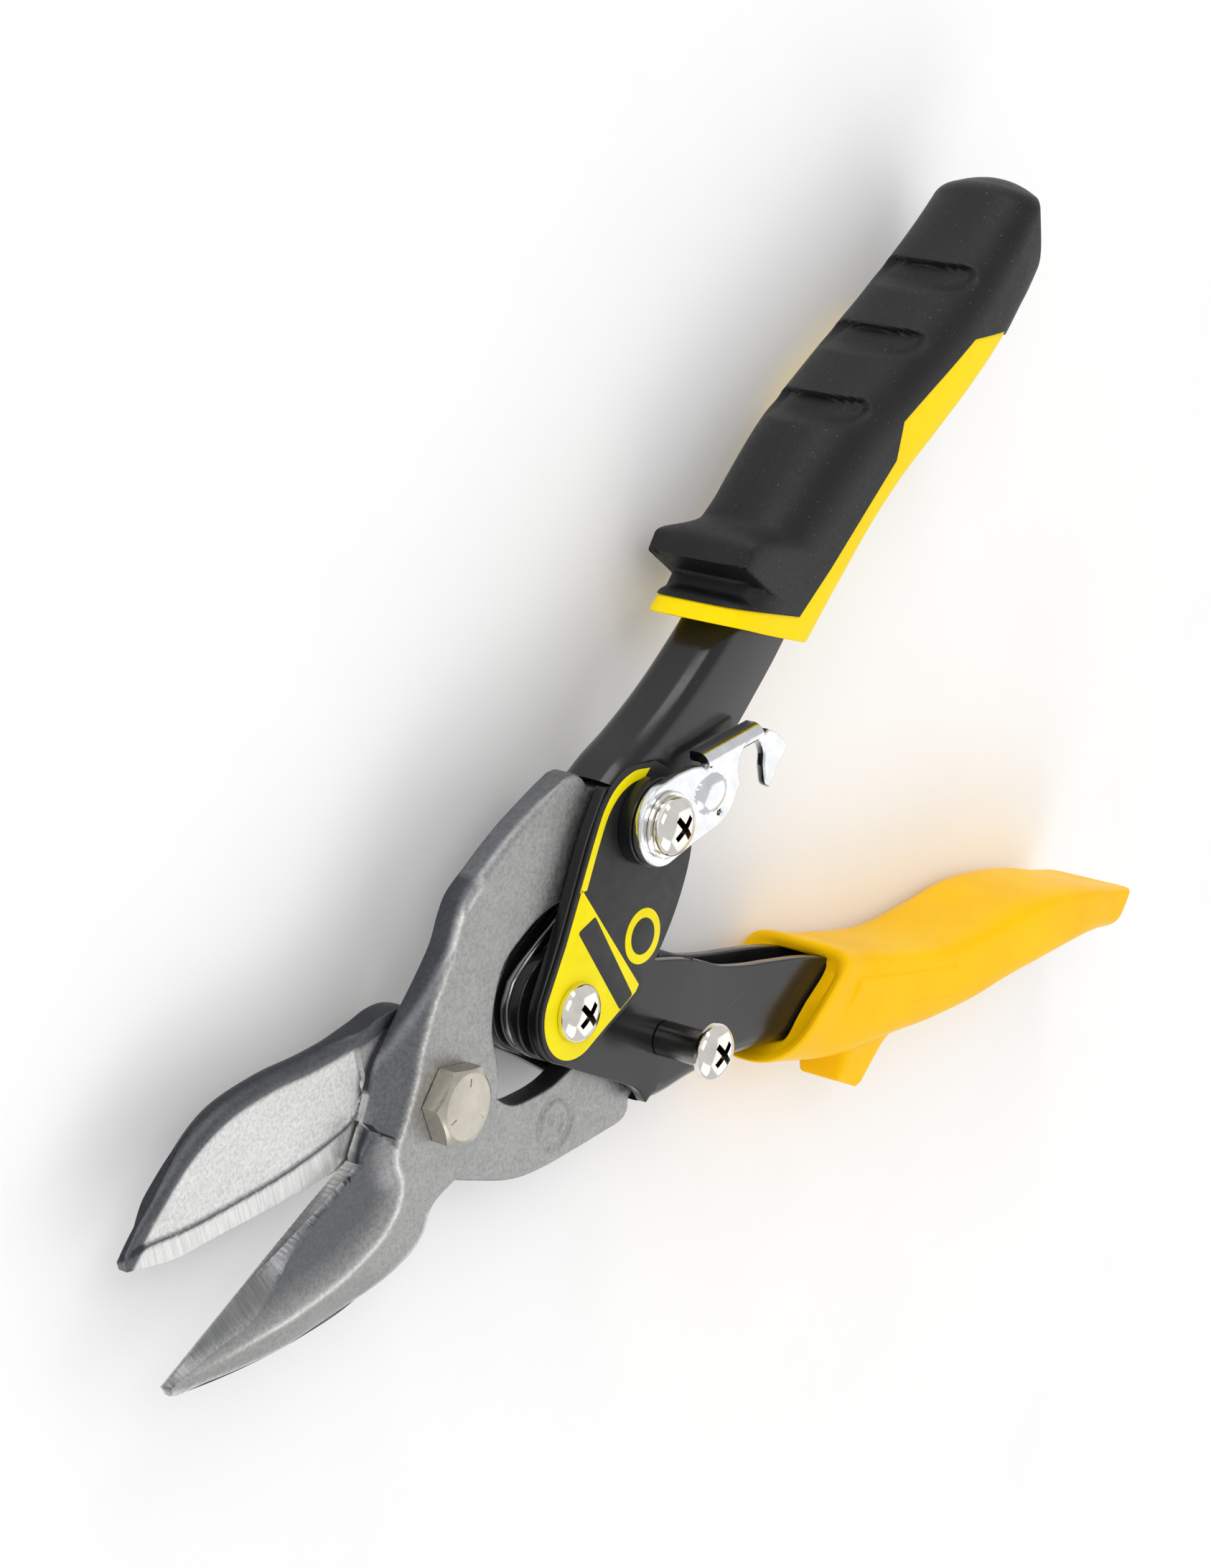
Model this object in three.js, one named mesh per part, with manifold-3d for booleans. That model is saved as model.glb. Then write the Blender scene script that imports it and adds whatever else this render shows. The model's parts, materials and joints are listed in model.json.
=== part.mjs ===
// Compound-action aviation snips, lying flat with the handles open. Millimetres, +Z up.
// The origin is the centre of the main pivot bolt's end face, which the tool lies on. The blades point
// to -X, the handles to +X, and the X axis is the symmetry line of the open linkage.
import * as THREE from 'three';
import { mergeVertices } from 'three/addons/utils/BufferGeometryUtils.js';
import Module from 'manifold-3d';

const wasm = await Module();
wasm.setup();

// Linkage: a kite with the blade pivot and the handle pivot on its axis.
const JAW_LINK = 54; // blade pivot to link pivot
const HANDLE_LINK = 31; // handle pivot to link pivot
const OPEN_HALF_ANGLE = THREE.MathUtils.degToRad(41.5); // handle link from the X axis, at rest
const JAW_HALF_ANGLE = Math.asin(HANDLE_LINK * Math.sin(OPEN_HALF_ANGLE) / JAW_LINK);
const CLOSED_HALF_ANGLE = THREE.MathUtils.degToRad(21); // when the blades are shut and the latch can lock
const LINK = new THREE.Vector2(Math.cos(JAW_HALF_ANGLE), Math.sin(JAW_HALF_ANGLE)).multiplyScalar(JAW_LINK);
const HANDLE_PIVOT_X = LINK.x - HANDLE_LINK * Math.cos(OPEN_HALF_ANGLE);

// Heights. The shear plane lies MID above the surface; a lower-side part mirrors its upper-side twin in it.
const MID = 13.8;
const JAW_THICK = 4.4;
const SHEAR_GAP = 0.15; // from the shear plane to each jaw's inner face
const WALL = 2;
const CHANNEL_TOP = 7; // outer face of a channel's wide wall, above the shear plane
const CHANNEL_BOTTOM = -3.4; // outer face of its narrow wall
const LABEL_THICK = 0.6;
const LATCH_BOTTOM = 10.1;
const LATCH_THICK = 1.6;
const GRIP_CENTRE = (CHANNEL_TOP + CHANNEL_BOTTOM) / 2;

// Fasteners.
const BOLT_HEX = 11.1; // across flats
const BOLT_HEAD = 3.7;
const BOLT_R = 3.9;
const SCREW_R = 2.2;
const SCREW_HEAD_R = 4.6;
const SCREW_RIM = 0.6;
const SCREW_DOME = 2.2;
const NUT_HEX = 7.6;
const NUT_THICK = 3.4;
const POST_R = 2.85;
const POST_TOP = 12.4;
const RUN_CLEARANCE = 0.3; // on the radius of a turning hole
const OPEN_PIVOT_CLEARANCE = 1.1; // on the radius of the rear jaw's link hole
const STACK_GAP = 0.05;
const NOSE_R = 8.4;
const SPRING_WIRE_R = 1.1;
const SPRING_COIL_R = 6.9;

const ROUND_STEPS = 28;

const materials = {
  jaw: { color: 0x8e9092, roughness: 0.42, metalness: 0.9 },
  handle: { color: 0x17181b, roughness: 0.38, metalness: 0.5 },
  label: { color: 0x1b1b1d, roughness: 0.6, metalness: 0 },
  chrome: { color: 0xd9dbde, roughness: 0.12, metalness: 1 },
  fastener: { color: 0xc4beb2, roughness: 0.25, metalness: 1 },
  blackSteel: { color: 0x2b2a2a, roughness: 0.3, metalness: 0.9 },
  rubber: { color: 0x17181a, roughness: 0.7, metalness: 0 },
  yellow: { color: 0xffcf00, roughness: 0.45, metalness: 0 },
};

const root = new THREE.Group();

// ---------- solids ----------

// A closed three.js geometry becomes a manifold solid.
function solid(geometry) {
  geometry.deleteAttribute('normal');
  geometry.deleteAttribute('uv');
  const merged = mergeVertices(geometry, 1e-4);
  return new wasm.Manifold(new wasm.Mesh({
    numProp: 3,
    vertProperties: merged.attributes.position.array,
    triVerts: merged.index.array,
  }));
}

// A named mesh of a solid, with its own material.
function add(name, body, material) {
  const { vertProperties, triVerts } = body.getMesh();
  const geometry = new THREE.BufferGeometry();
  geometry.setAttribute('position', new THREE.BufferAttribute(vertProperties, 3));
  geometry.setIndex(new THREE.BufferAttribute(triVerts, 1));
  geometry.computeVertexNormals();
  const mesh = new THREE.Mesh(geometry, new THREE.MeshStandardMaterial(materials[material]));
  mesh.name = name;
  root.add(mesh);
}

// A flat outline, as [x, y] points, between two heights above the shear plane, with its edges eased by ease.
function plate(outline, bottom, top, ease = 0) {
  const shape = new THREE.Shape(outline.map(([x, y]) => new THREE.Vector2(x, y)));
  const geometry = new THREE.ExtrudeGeometry(shape, {
    depth: top - bottom - 2 * ease,
    bevelEnabled: ease > 0,
    bevelThickness: ease,
    bevelSize: ease,
    bevelOffset: -ease,
    bevelSegments: 2,
  });
  return solid(geometry.translate(0, 0, MID + bottom + ease));
}

// A turned body about a vertical axis; its profile is [radius, height] points from axis to axis, going up.
function turned([x, y], profile, steps = ROUND_STEPS) {
  const points = profile.map(([r, z]) => new THREE.Vector2(r, z));
  return solid(new THREE.LatheGeometry(points, steps).rotateX(Math.PI / 2).translate(x, y, MID));
}

function disc(centre, radius, bottom, top, steps = ROUND_STEPS) {
  return turned(centre, [[0, bottom], [radius, bottom], [radius, top], [0, top]], steps);
}

function ring(centre, outer, inner, bottom, top) {
  return disc(centre, outer, bottom, top).subtract(disc(centre, inner, bottom - 1, top + 1));
}

function hexagon([x, y], acrossFlats, bottom, top, turn) {
  const corner = acrossFlats / Math.sqrt(3);
  const outline = [...Array(6).keys()].map((i) => {
    const angle = turn + i * Math.PI / 3;
    return [x + corner * Math.cos(angle), y + corner * Math.sin(angle)];
  });
  return plate(outline, bottom, top);
}

// A closed skin over rings of [x, y, height] points, capped at both ends. All rings have the same number of
// points, and go round counter-clockwise as seen from the first ring, with +Z up and +Y to the left.
function loft(rings) {
  const count = rings[0].length;
  const last = (rings.length - 1) * count;
  const faces = [];
  for (let below = 0; below < last; below += count) {
    for (let i = 0; i < count; i += 1) {
      const next = (i + 1) % count;
      const here = below + count;
      faces.push(below + i, here + i, below + next, below + next, here + i, here + next);
    }
  }
  const flatRing = rings[0].map(([, y, height]) => new THREE.Vector2(-y, height));
  for (const [a, b, c] of THREE.ShapeUtils.triangulateShape(flatRing, [])) {
    faces.push(a, b, c, last + a, last + c, last + b);
  }
  const geometry = new THREE.BufferGeometry();
  const vertices = rings.flat().flatMap(([x, y, height]) => [x, y, MID + height]);
  geometry.setAttribute('position', new THREE.Float32BufferAttribute(vertices, 3));
  geometry.setIndex(faces);
  return solid(geometry);
}

// The same body on the other side: half a turn about the X axis through the shear plane.
function twin(body) {
  return body.translate([0, 0, -MID]).rotate([180, 0, 0]).translate([0, 0, MID]);
}

// ---------- outlines ----------

function smooth(points, steps) {
  return new THREE.SplineCurve(points.map(([x, y]) => new THREE.Vector2(x, y)))
    .getPoints(steps).map((p) => [p.x, p.y]);
}

function arc([x, y], radius, fromDegrees, toDegrees, steps = 12) {
  return [...Array(steps + 1).keys()].map((i) => {
    const angle = THREE.MathUtils.degToRad(fromDegrees + (toDegrees - fromDegrees) * i / steps);
    return [x + radius * Math.cos(angle), y + radius * Math.sin(angle)];
  });
}

// The upper handle's own frame: u from the handle pivot along its link, v outwards.
const handleTurn = new THREE.Matrix3().makeRotation(OPEN_HALF_ANGLE);
function onHandle([u, v]) {
  const p = new THREE.Vector2(u, v).applyMatrix3(handleTurn);
  return [HANDLE_PIVOT_X + p.x, p.y];
}

const BLADE_PIVOT = [0, 0];
const HANDLE_PIVOT = [HANDLE_PIVOT_X, 0];
const UPPER_LINK = [LINK.x, LINK.y];
const LOWER_LINK = [LINK.x, -LINK.y];

// ---------- jaws ----------

const TAIL_LOBE_R = 7.6;
const bladeEdge = smooth([[-62.6, -10], [-54, -7], [-39, -3.4], [-18.5, 0.8]], 10);
const frontSpine = smooth([[-1.9, -13], [-8.2, -14.3], [-12, -17.9], [-21.8, -20.5], [-34.9, -19.2],
  [-49, -15.6], [-60.8, -12]], 15);
const rearSpine = smooth([[1.8, -13.4], [-4.3, -16.8], [-19.8, -19], [-28.4, -21.1], [-38, -22.1],
  [-47, -20.6], [-55.3, -16.8], [-61.4, -13]], 15);
const tailOuter = smooth([[-18.3, 4.6], [-13.5, 6.4], [-8.5, 12.6], [2, 18.8], [8.5, 23.8], [14.6, 28.6],
  [26, 32], [38.6, 33.4]], 18);
const tailInner = smooth([[36, 14.6], [29, 16], [21.5, 14.9], [15.4, 12.2], [12.3, 5], [11.8, -2.5],
  [8.6, -8.8], [4.4, -10.9]], 15);

function jawOutline(spine) {
  return [
    ...bladeEdge,
    ...tailOuter,
    [41, 29.8],
    ...arc(UPPER_LINK, TAIL_LOBE_R, 115, -118),
    ...tailInner,
    ...spine,
  ];
}

// The face above the cutting edge is ground away in a plane that rises from the edge to the spine.
function bladeGrind() {
  const edgeAngle = Math.atan2(bladeEdge.at(-1)[1] - bladeEdge[0][1], bladeEdge.at(-1)[0] - bladeEdge[0][0]);
  const size = [52, 40, 12];
  const edgeHeight = 1.2;
  const riseAngle = THREE.MathUtils.degToRad(14);
  const box = new THREE.BoxGeometry(...size).translate(0, 0, size[2] / 2).rotateX(-riseAngle)
    .rotateZ(edgeAngle).translate(-44, -4.6, MID + edgeHeight);
  return solid(box);
}

function jaw(spine) {
  const body = plate(jawOutline(spine), SHEAR_GAP, JAW_THICK, 0.8);
  return body.subtract(bladeGrind());
}

add('front_jaw', jaw(frontSpine)
  .subtract(disc(BLADE_PIVOT, BOLT_R + STACK_GAP, -1, 9))
  .subtract(disc(UPPER_LINK, SCREW_R + RUN_CLEARANCE, -1, 9)), 'jaw');
add('rear_jaw', twin(jaw(rearSpine))
  .subtract(disc(BLADE_PIVOT, BOLT_R + RUN_CLEARANCE, -9, 1))
  .subtract(disc(LOWER_LINK, SCREW_R + OPEN_PIVOT_CLEARANCE, -9, 1)), 'jaw');

// ---------- main pivot bolt ----------

const hexTurn = THREE.MathUtils.degToRad(36);
const washerTop = -JAW_THICK - STACK_GAP;
const washerBottom = washerTop - 1;
const nutBottom = washerBottom - 6.4;
const chamferCone = turned(BLADE_PIVOT, [[0, JAW_THICK], [7.4, JAW_THICK], [7.4, JAW_THICK + BOLT_HEAD - 1.1],
  [5.1, JAW_THICK + BOLT_HEAD], [0, JAW_THICK + BOLT_HEAD]]);
const boltHead = hexagon(BLADE_PIVOT, BOLT_HEX, JAW_THICK + STACK_GAP, JAW_THICK + BOLT_HEAD, hexTurn)
  .intersect(chamferCone);
add('pivot_bolt', boltHead.add(disc(BLADE_PIVOT, BOLT_R, -MID, JAW_THICK + 1)), 'fastener');
add('pivot_washer', ring(BLADE_PIVOT, 7.5, BOLT_R + STACK_GAP, washerBottom, washerTop), 'fastener');
add('pivot_nut', hexagon(BLADE_PIVOT, BOLT_HEX, nutBottom, washerBottom - STACK_GAP, hexTurn)
  .subtract(disc(BLADE_PIVOT, BOLT_R + STACK_GAP, -MID - 1, 0)), 'fastener');

// ---------- handle channels ----------

// Stations along a handle's closed back, in its frame: u, then v of the outer and of the inner edge.
const backStations = [
  [33, 10.6, -13.2],
  [37, 8.6, -13.4],
  [42, 5.5, -13.6],
  [49, 1.9, -15],
  [56, -1, -16.9],
  [66, -4.4, -19.4],
  [80, -8.6, -21.6],
  [96, -15.2, -25.6],
  [112, -24, -32.6],
];
const [TANG_END, TANG_END_OUTER, TANG_END_INNER] = backStations.at(-1);
const BACK_RADIUS = 3.6; // outside radius of the bends along the back
const BEND_STEPS = 4;

// The channel's section at one station, as [v, height] points: a C that is open on the inner side.
function channelSection([, outer, inner]) {
  const quarter = (radius, from) => arc([0, 0], radius, from, from - 90, BEND_STEPS);
  const bendV = outer - BACK_RADIUS;
  const upperBend = CHANNEL_TOP - BACK_RADIUS;
  const lowerBend = CHANNEL_BOTTOM + BACK_RADIUS;
  const insideRadius = BACK_RADIUS - WALL;
  return [
    [inner, CHANNEL_TOP],
    ...quarter(BACK_RADIUS, 90).map(([v, z]) => [bendV + v, upperBend + z]),
    ...quarter(BACK_RADIUS, 0).map(([v, z]) => [bendV + v, lowerBend + z]),
    [inner, CHANNEL_BOTTOM],
    [inner, CHANNEL_BOTTOM + WALL],
    ...quarter(insideRadius, 0).toReversed().map(([v, z]) => [bendV + v, lowerBend + z]),
    ...quarter(insideRadius, 90).toReversed().map(([v, z]) => [bendV + v, upperBend + z]),
    [inner, CHANNEL_TOP - WALL],
  ];
}

const outerEdge = backStations.map(([u, outer]) => [u, outer]);
const innerEdge = backStations.map(([u, , inner]) => [u, inner]);
const wideWall = [
  ...arc([0, 0], NOSE_R, 232, 98),
  ...smooth([[2, 8.6], [8, 9.1], [16, 10.2], [24, 11.3], [32, 11.4]], 7),
  [34, 7],
  [34, -13],
  ...smooth([[31, -14.4], [24, -16], [16, -15.9], [7.4, -14.2], [0.2, -9.8]], 9),
];
const narrowWall = [
  ...arc([0, 0], NOSE_R, 262, 90),
  ...smooth([[8, 8.4], [16, 8.5], [27, 8.7], [31.5, 10.4]], 5),
  [34, 7],
  [34, -13],
  ...smooth([[30, -12.6], [21.7, -10.9], [8, -8.9]], 4),
];

function channel() {
  const back = loft(backStations.map((station) => channelSection(station)
    .map(([v, height]) => onHandle([station[0], v]).concat(height))));
  return back.add(plate(wideWall.map(onHandle), CHANNEL_TOP - WALL, CHANNEL_TOP))
    .add(plate(narrowWall.map(onHandle), CHANNEL_BOTTOM, CHANNEL_BOTTOM + WALL));
}

const channelBlank = channel();
const handleHole = disc(HANDLE_PIVOT, SCREW_R + RUN_CLEARANCE, -12, 12);
add('upper_channel', channelBlank.subtract(handleHole)
  .subtract(disc(UPPER_LINK, SCREW_R + STACK_GAP, -12, 12)), 'handle');
add('lower_channel', twin(channelBlank).subtract(handleHole)
  .subtract(disc(LOWER_LINK, SCREW_R + STACK_GAP, -12, 12)), 'handle');

// ---------- label plate ----------

const labelOutline = [
  ...arc([0, 0], NOSE_R - 0.2, 98, 232),
  ...smooth([[0.2, -9.6], [7.4, -13.9], [16, -15.6], [24, -15.7], [31, -14.2]], 9),
  ...arc([HANDLE_LINK, 0], 8.6, -60, 62),
  ...smooth([[30.7, 11.5], [24, 11], [16, 9.9], [8, 8.8], [2, 8.4]], 8),
];
const labelTop = CHANNEL_TOP + STACK_GAP + LABEL_THICK;
add('label_plate', plate(labelOutline.map(onHandle), CHANNEL_TOP + STACK_GAP, labelTop)
  .subtract(disc(HANDLE_PIVOT, SCREW_R + STACK_GAP, 0, 12))
  .subtract(disc(UPPER_LINK, SCREW_R + STACK_GAP, 0, 12)), 'label');

// ---------- screws, nuts, spacers ----------

// A screw with a domed head that sits at headBottom, and a shank down to shankBottom.
function screw(centre, headBottom, shankBottom) {
  const rim = headBottom + SCREW_RIM;
  const dome = [0.35, 0.7, 1].map((t) => [SCREW_HEAD_R * Math.cos(t * Math.PI / 2),
    rim + SCREW_DOME * Math.sin(t * Math.PI / 2)]);
  return turned(centre, [[0, shankBottom], [SCREW_R, shankBottom], [SCREW_R, headBottom],
    [SCREW_HEAD_R, headBottom], [SCREW_HEAD_R, rim], ...dome.slice(0, 2), [0, dome[2][1]]]);
}

function nut(centre, faceHeight, thickness, turn) {
  return hexagon(centre, NUT_HEX, faceHeight - STACK_GAP - thickness, faceHeight - STACK_GAP, turn)
    .subtract(disc(centre, SCREW_R + STACK_GAP, -MID - 1, MID));
}

const rearFace = -CHANNEL_TOP;
const shankEnd = 0.6;
add('handle_screw', screw(HANDLE_PIVOT, labelTop + STACK_GAP, rearFace - NUT_THICK - shankEnd), 'fastener');
add('handle_nut', nut(HANDLE_PIVOT, rearFace, NUT_THICK, 0.2), 'fastener');
add('link_screw', screw(UPPER_LINK, LATCH_BOTTOM + LATCH_THICK + 0.7, CHANNEL_BOTTOM - NUT_THICK - shankEnd),
  'fastener');
add('link_nut', nut(UPPER_LINK, CHANNEL_BOTTOM, NUT_THICK, 0.4), 'fastener');
add('post_screw', screw(LOWER_LINK, POST_TOP + STACK_GAP, rearFace - NUT_THICK - shankEnd), 'fastener');
add('post_sleeve', ring(LOWER_LINK, POST_R, SCREW_R + STACK_GAP, -CHANNEL_BOTTOM + STACK_GAP, POST_TOP),
  'blackSteel');
add('post_nut', nut(LOWER_LINK, rearFace, NUT_THICK, 0.1), 'fastener');

// Spacers fill the gaps between the nested walls at the handle pivot, and beside each jaw tail.
const wallGap = CHANNEL_TOP - WALL + CHANNEL_BOTTOM;
const spacerFrom = -CHANNEL_BOTTOM + STACK_GAP;
const spacerTo = -CHANNEL_BOTTOM + wallGap - STACK_GAP;
const pivotSpacer = ring(HANDLE_PIVOT, 6, SCREW_R + STACK_GAP, spacerFrom, spacerTo);
add('pivot_spacer_front', pivotSpacer, 'blackSteel');
add('pivot_spacer_rear', twin(pivotSpacer), 'blackSteel');
const tailSpacer = ring(UPPER_LINK, 6, SCREW_R + STACK_GAP, CHANNEL_BOTTOM + WALL + STACK_GAP,
  SHEAR_GAP - 0.1);
add('link_spacer', tailSpacer, 'fastener');
add('post_spacer', twin(tailSpacer), 'fastener');

// ---------- return spring ----------

// One formed wire: an arc around the handle pivot on the blade side, and a leg down each channel.
function returnSpring() {
  const leg = [[15, 0.4], [11.5, 2], [7.8, 4], [3.8, 5.9], [0.6, SPRING_COIL_R]].map(onHandle);
  const coil = arc(HANDLE_PIVOT, SPRING_COIL_R, 150, 210, 4);
  const points = [...leg, ...coil, ...leg.toReversed().map(([x, y]) => [x, -y])];
  const path = new THREE.CatmullRomCurve3(points.map(([x, y]) => new THREE.Vector3(x, y, MID)));
  const section = new THREE.Shape().absarc(0, 0, SPRING_WIRE_R, 0, Math.PI * 2);
  return solid(new THREE.ExtrudeGeometry(section, { extrudePath: path, steps: 36, curveSegments: 4 }));
}

add('return_spring', returnSpring(), 'blackSteel');

// ---------- latch ----------

// The hook closes round the post: its slot is as far from the link pivot as the post is when the blades shut.
const POST_REACH = 2 * HANDLE_LINK * Math.sin(CLOSED_HALF_ANGLE);
const SLOT_RADIUS = POST_R + 0.25;
const SLOT_DROP = 1.5; // of the slot's round end, below the link pivot
const SLOT_CENTRE = [Math.sqrt(POST_REACH ** 2 - SLOT_DROP ** 2), -SLOT_DROP];
const FLANGE_DEPTH = 3.7;
const latchTop = LATCH_BOTTOM + LATCH_THICK;
const fromLink = ([x, y]) => [UPPER_LINK[0] + x, UPPER_LINK[1] + y];

function latch() {
  const outline = [
    ...arc([0, 0], 6.6, 76, 262, 16),
    ...smooth([[5, -6.6], [12.5, -7], [16.4, -5.4], [18.6, -3.9]], 6),
    ...arc(SLOT_CENTRE, SLOT_RADIUS, 180, -12),
    [24.7, -6.9],
    [25.7, -7.9],
    ...smooth([[30.9, -4.4], [31.2, -2.8], [26.8, 2.4]], 5),
    [12.4, 5.2],
  ];
  const blank = plate(outline.map(fromLink), LATCH_BOTTOM, latchTop, 0.3);
  const flange = plate([[12.6, 3.6], [26, 1.7], [26.5, 3.5], [12.9, 5.5]].map(fromLink),
    latchTop - FLANGE_DEPTH, latchTop - 0.3, 0.3);
  const dome = turned(fromLink([11, -1]), [[0, latchTop - 0.5], [3.6, latchTop - 0.5], [3.2, latchTop + 0.3],
    [1.9, latchTop + 0.8], [0, latchTop + 1]], 16);
  return blank.add(flange).add(dome).subtract(disc(UPPER_LINK, SCREW_R + RUN_CLEARANCE, 8, 14));
}

add('latch', latch(), 'chrome');
add('latch_spacer', ring(UPPER_LINK, 6, SCREW_R + STACK_GAP, labelTop + STACK_GAP, LATCH_BOTTOM - STACK_GAP),
  'blackSteel');
add('latch_washer', ring(UPPER_LINK, 5.2, SCREW_R + STACK_GAP, latchTop + STACK_GAP, latchTop + 0.6),
  'fastener');

// ---------- grips ----------

// Sections of each grip across its handle's frame: u, v of the middle, half height along v, half thickness.
const upperSections = [
  [61, -10.8, 11.4, 9.2],
  [66, -12, 11.9, 9.4],
  [72, -13, 12, 9.6],
  [80, -14.4, 11.8, 9.9],
  [90, -16.9, 11.5, 10.3],
  [100, -20.3, 11.4, 10.7],
  [110, -25.2, 11.1, 11],
  [120, -30.2, 10.5, 11.3],
  [130, -34.9, 9.8, 11.6],
  [140, -38.8, 9.3, 11.7],
  [148, -41.4, 8.7, 11.4],
  [153.5, -42.9, 7, 10.6],
  [156.6, -43.6, 4.6, 8.8],
];
const lowerSections = [
  [61, -10.6, 10.8, 9.3],
  [72, -12.3, 10.6, 9.6],
  [80, -13.8, 10.2, 9.8],
  [95, -18.7, 8.9, 10.2],
  [104, -22.2, 8.5, 10.5],
  [114.5, -27.5, 8.2, 10.8],
  [122.7, -32.3, 8.1, 11],
  [130.7, -36.2, 7.5, 11.1],
  [142, -40.8, 6, 10.8],
  [151, -43.8, 4.3, 10.3],
  [156, -45, 2.8, 9.4],
];
const SECTION_STEPS = 22;
const SQUARENESS = 2.6;
const mouthFace = [[62.6, 0], [70.2, -25]]; // where the slanted mouth meets the outer and the inner side
const endFace = [[160, -41.6], [144, -51.6]]; // the flat cut across the inner corner of the end

function superellipse(angle) {
  const power = 2 / SQUARENESS;
  const c = Math.cos(angle);
  const s = Math.sin(angle);
  return [Math.sign(c) * Math.abs(c) ** power, Math.sign(s) * Math.abs(s) ** power];
}

// Everything on the left of the line from one point of the handle's frame to another.
function leftOf([[u0, v0], [u1, v1]]) {
  const reach = 120;
  const along = new THREE.Vector2(u1 - u0, v1 - v0).normalize().multiplyScalar(reach);
  const outline = [[u0 - along.x, v0 - along.y], [u1 + along.x, v1 + along.y],
    [u1 + along.x - along.y, v1 + along.y + along.x], [u0 - along.x - along.y, v0 - along.y + along.x]];
  return plate(outline.map(onHandle), -30, 30);
}

function gripBody(sections) {
  const skin = loft(sections.map(([u, v, height, thickness]) => (
    [...Array(SECTION_STEPS).keys()].map((i) => {
      const [across, up] = superellipse(-2 * Math.PI * i / SECTION_STEPS);
      return onHandle([u, v + across * height]).concat(GRIP_CENTRE + up * thickness);
    })
  )));
  return skin.intersect(leftOf(mouthFace));
}

// A flat rib on a grip, centred on its thickness, with eased edges.
const RIB_EASE = 1;
function rib(outline, halfThickness) {
  return plate(outline.map(onHandle), GRIP_CENTRE - halfThickness, GRIP_CENTRE + halfThickness, RIB_EASE);
}

// The flange keeps the upper hand off the linkage; the block under the lower grip stops the hand.
const flange = rib([[70.6, -12], [70.6, 2.6], [71, 4.4], [75, 4.2], [76.4, 2], [78.8, -1.6], [82, -4.4],
  [80, -12]].toReversed(), 7.6);
const block = rib([[86, -12], [87, -6], [88.2, -1.4], [92.4, -1.4], [94.6, -8], [96, -13]], 5);

// The room that the channel's tang takes inside a grip.
const TANG_CLEARANCE = 0.3;
function tangRoom() {
  const outline = [
    ...outerEdge.map(([u, v]) => [u, v + TANG_CLEARANCE]),
    [TANG_END + TANG_CLEARANCE, TANG_END_OUTER],
    [TANG_END + TANG_CLEARANCE, TANG_END_INNER],
    ...innerEdge.toReversed().map(([u, v]) => [u, v - TANG_CLEARANCE]),
  ];
  return plate(outline.map(onHandle), CHANNEL_BOTTOM - TANG_CLEARANCE, CHANNEL_TOP + TANG_CLEARANCE);
}

const tang = tangRoom();

// The upper grip is moulded in two materials: a core that shows as the collar and a strip along the inner
// side, and a soft sleeve over the rest.
const sleeveEdge = [[62, 20], [66.4, -2], [70.5, -15.2], [80, -18.4], [90, -21.2], [100.8, -24.2],
  [106.7, -22.3], [115.5, -27.2], [125.7, -33], [130.6, -41], [133, -70]];
const sleeveRegion = plate([...sleeveEdge, [190, -70], [190, 20]].map(onHandle), -20, 24);
const upperGrip = gripBody(upperSections).subtract(leftOf(endFace)).add(flange).subtract(tang);
add('upper_grip_sleeve', upperGrip.intersect(sleeveRegion), 'rubber');
add('upper_grip_core', upperGrip.subtract(sleeveRegion), 'yellow');
add('lower_grip', twin(gripBody(lowerSections).add(block).subtract(tang)), 'yellow');

export default root;
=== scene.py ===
"""Looks for the aviation snips: detailed forgings, stampings, fasteners and grips round the CAD frame.
Shapes are worked out in millimetres, with heights counted from the shear plane between the jaws."""

import json
import math

import bpy
import numpy as np
from mathutils import Matrix, Vector
from mathutils.geometry import delaunay_2d_cdt


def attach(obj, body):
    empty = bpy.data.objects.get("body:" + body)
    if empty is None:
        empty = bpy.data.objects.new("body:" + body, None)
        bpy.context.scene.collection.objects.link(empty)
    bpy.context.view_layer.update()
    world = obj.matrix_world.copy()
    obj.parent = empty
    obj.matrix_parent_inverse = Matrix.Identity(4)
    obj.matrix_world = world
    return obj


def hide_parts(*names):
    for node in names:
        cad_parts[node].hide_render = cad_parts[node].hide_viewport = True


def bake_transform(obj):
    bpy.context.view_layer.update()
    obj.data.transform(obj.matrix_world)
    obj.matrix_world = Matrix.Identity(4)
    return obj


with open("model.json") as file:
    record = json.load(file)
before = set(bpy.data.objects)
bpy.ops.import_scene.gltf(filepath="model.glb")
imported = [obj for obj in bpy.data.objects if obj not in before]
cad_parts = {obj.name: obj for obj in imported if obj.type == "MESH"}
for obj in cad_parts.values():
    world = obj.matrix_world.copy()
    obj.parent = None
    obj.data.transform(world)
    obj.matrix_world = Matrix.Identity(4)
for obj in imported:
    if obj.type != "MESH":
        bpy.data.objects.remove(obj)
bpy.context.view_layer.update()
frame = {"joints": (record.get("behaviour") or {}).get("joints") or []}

# ---------- the linkage, from the frame ----------

MM = 0.001
joints = {joint["name"]: joint for joint in frame["joints"]}
MID = joints["lower_handle"]["pos_m"][2] / MM  # height of the shear plane
HANDLE_PIVOT = np.array(joints["lower_handle"]["pos_m"][:2]) / MM
UPPER_LINK = np.array(joints["latch"]["pos_m"][:2]) / MM
LOWER_LINK = UPPER_LINK * (1, -1)
BLADE_PIVOT = np.zeros(2)
ALONG = (UPPER_LINK - HANDLE_PIVOT) / np.linalg.norm(UPPER_LINK - HANDLE_PIVOT)
OUTWARDS = np.array((-ALONG[1], ALONG[0]))

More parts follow.
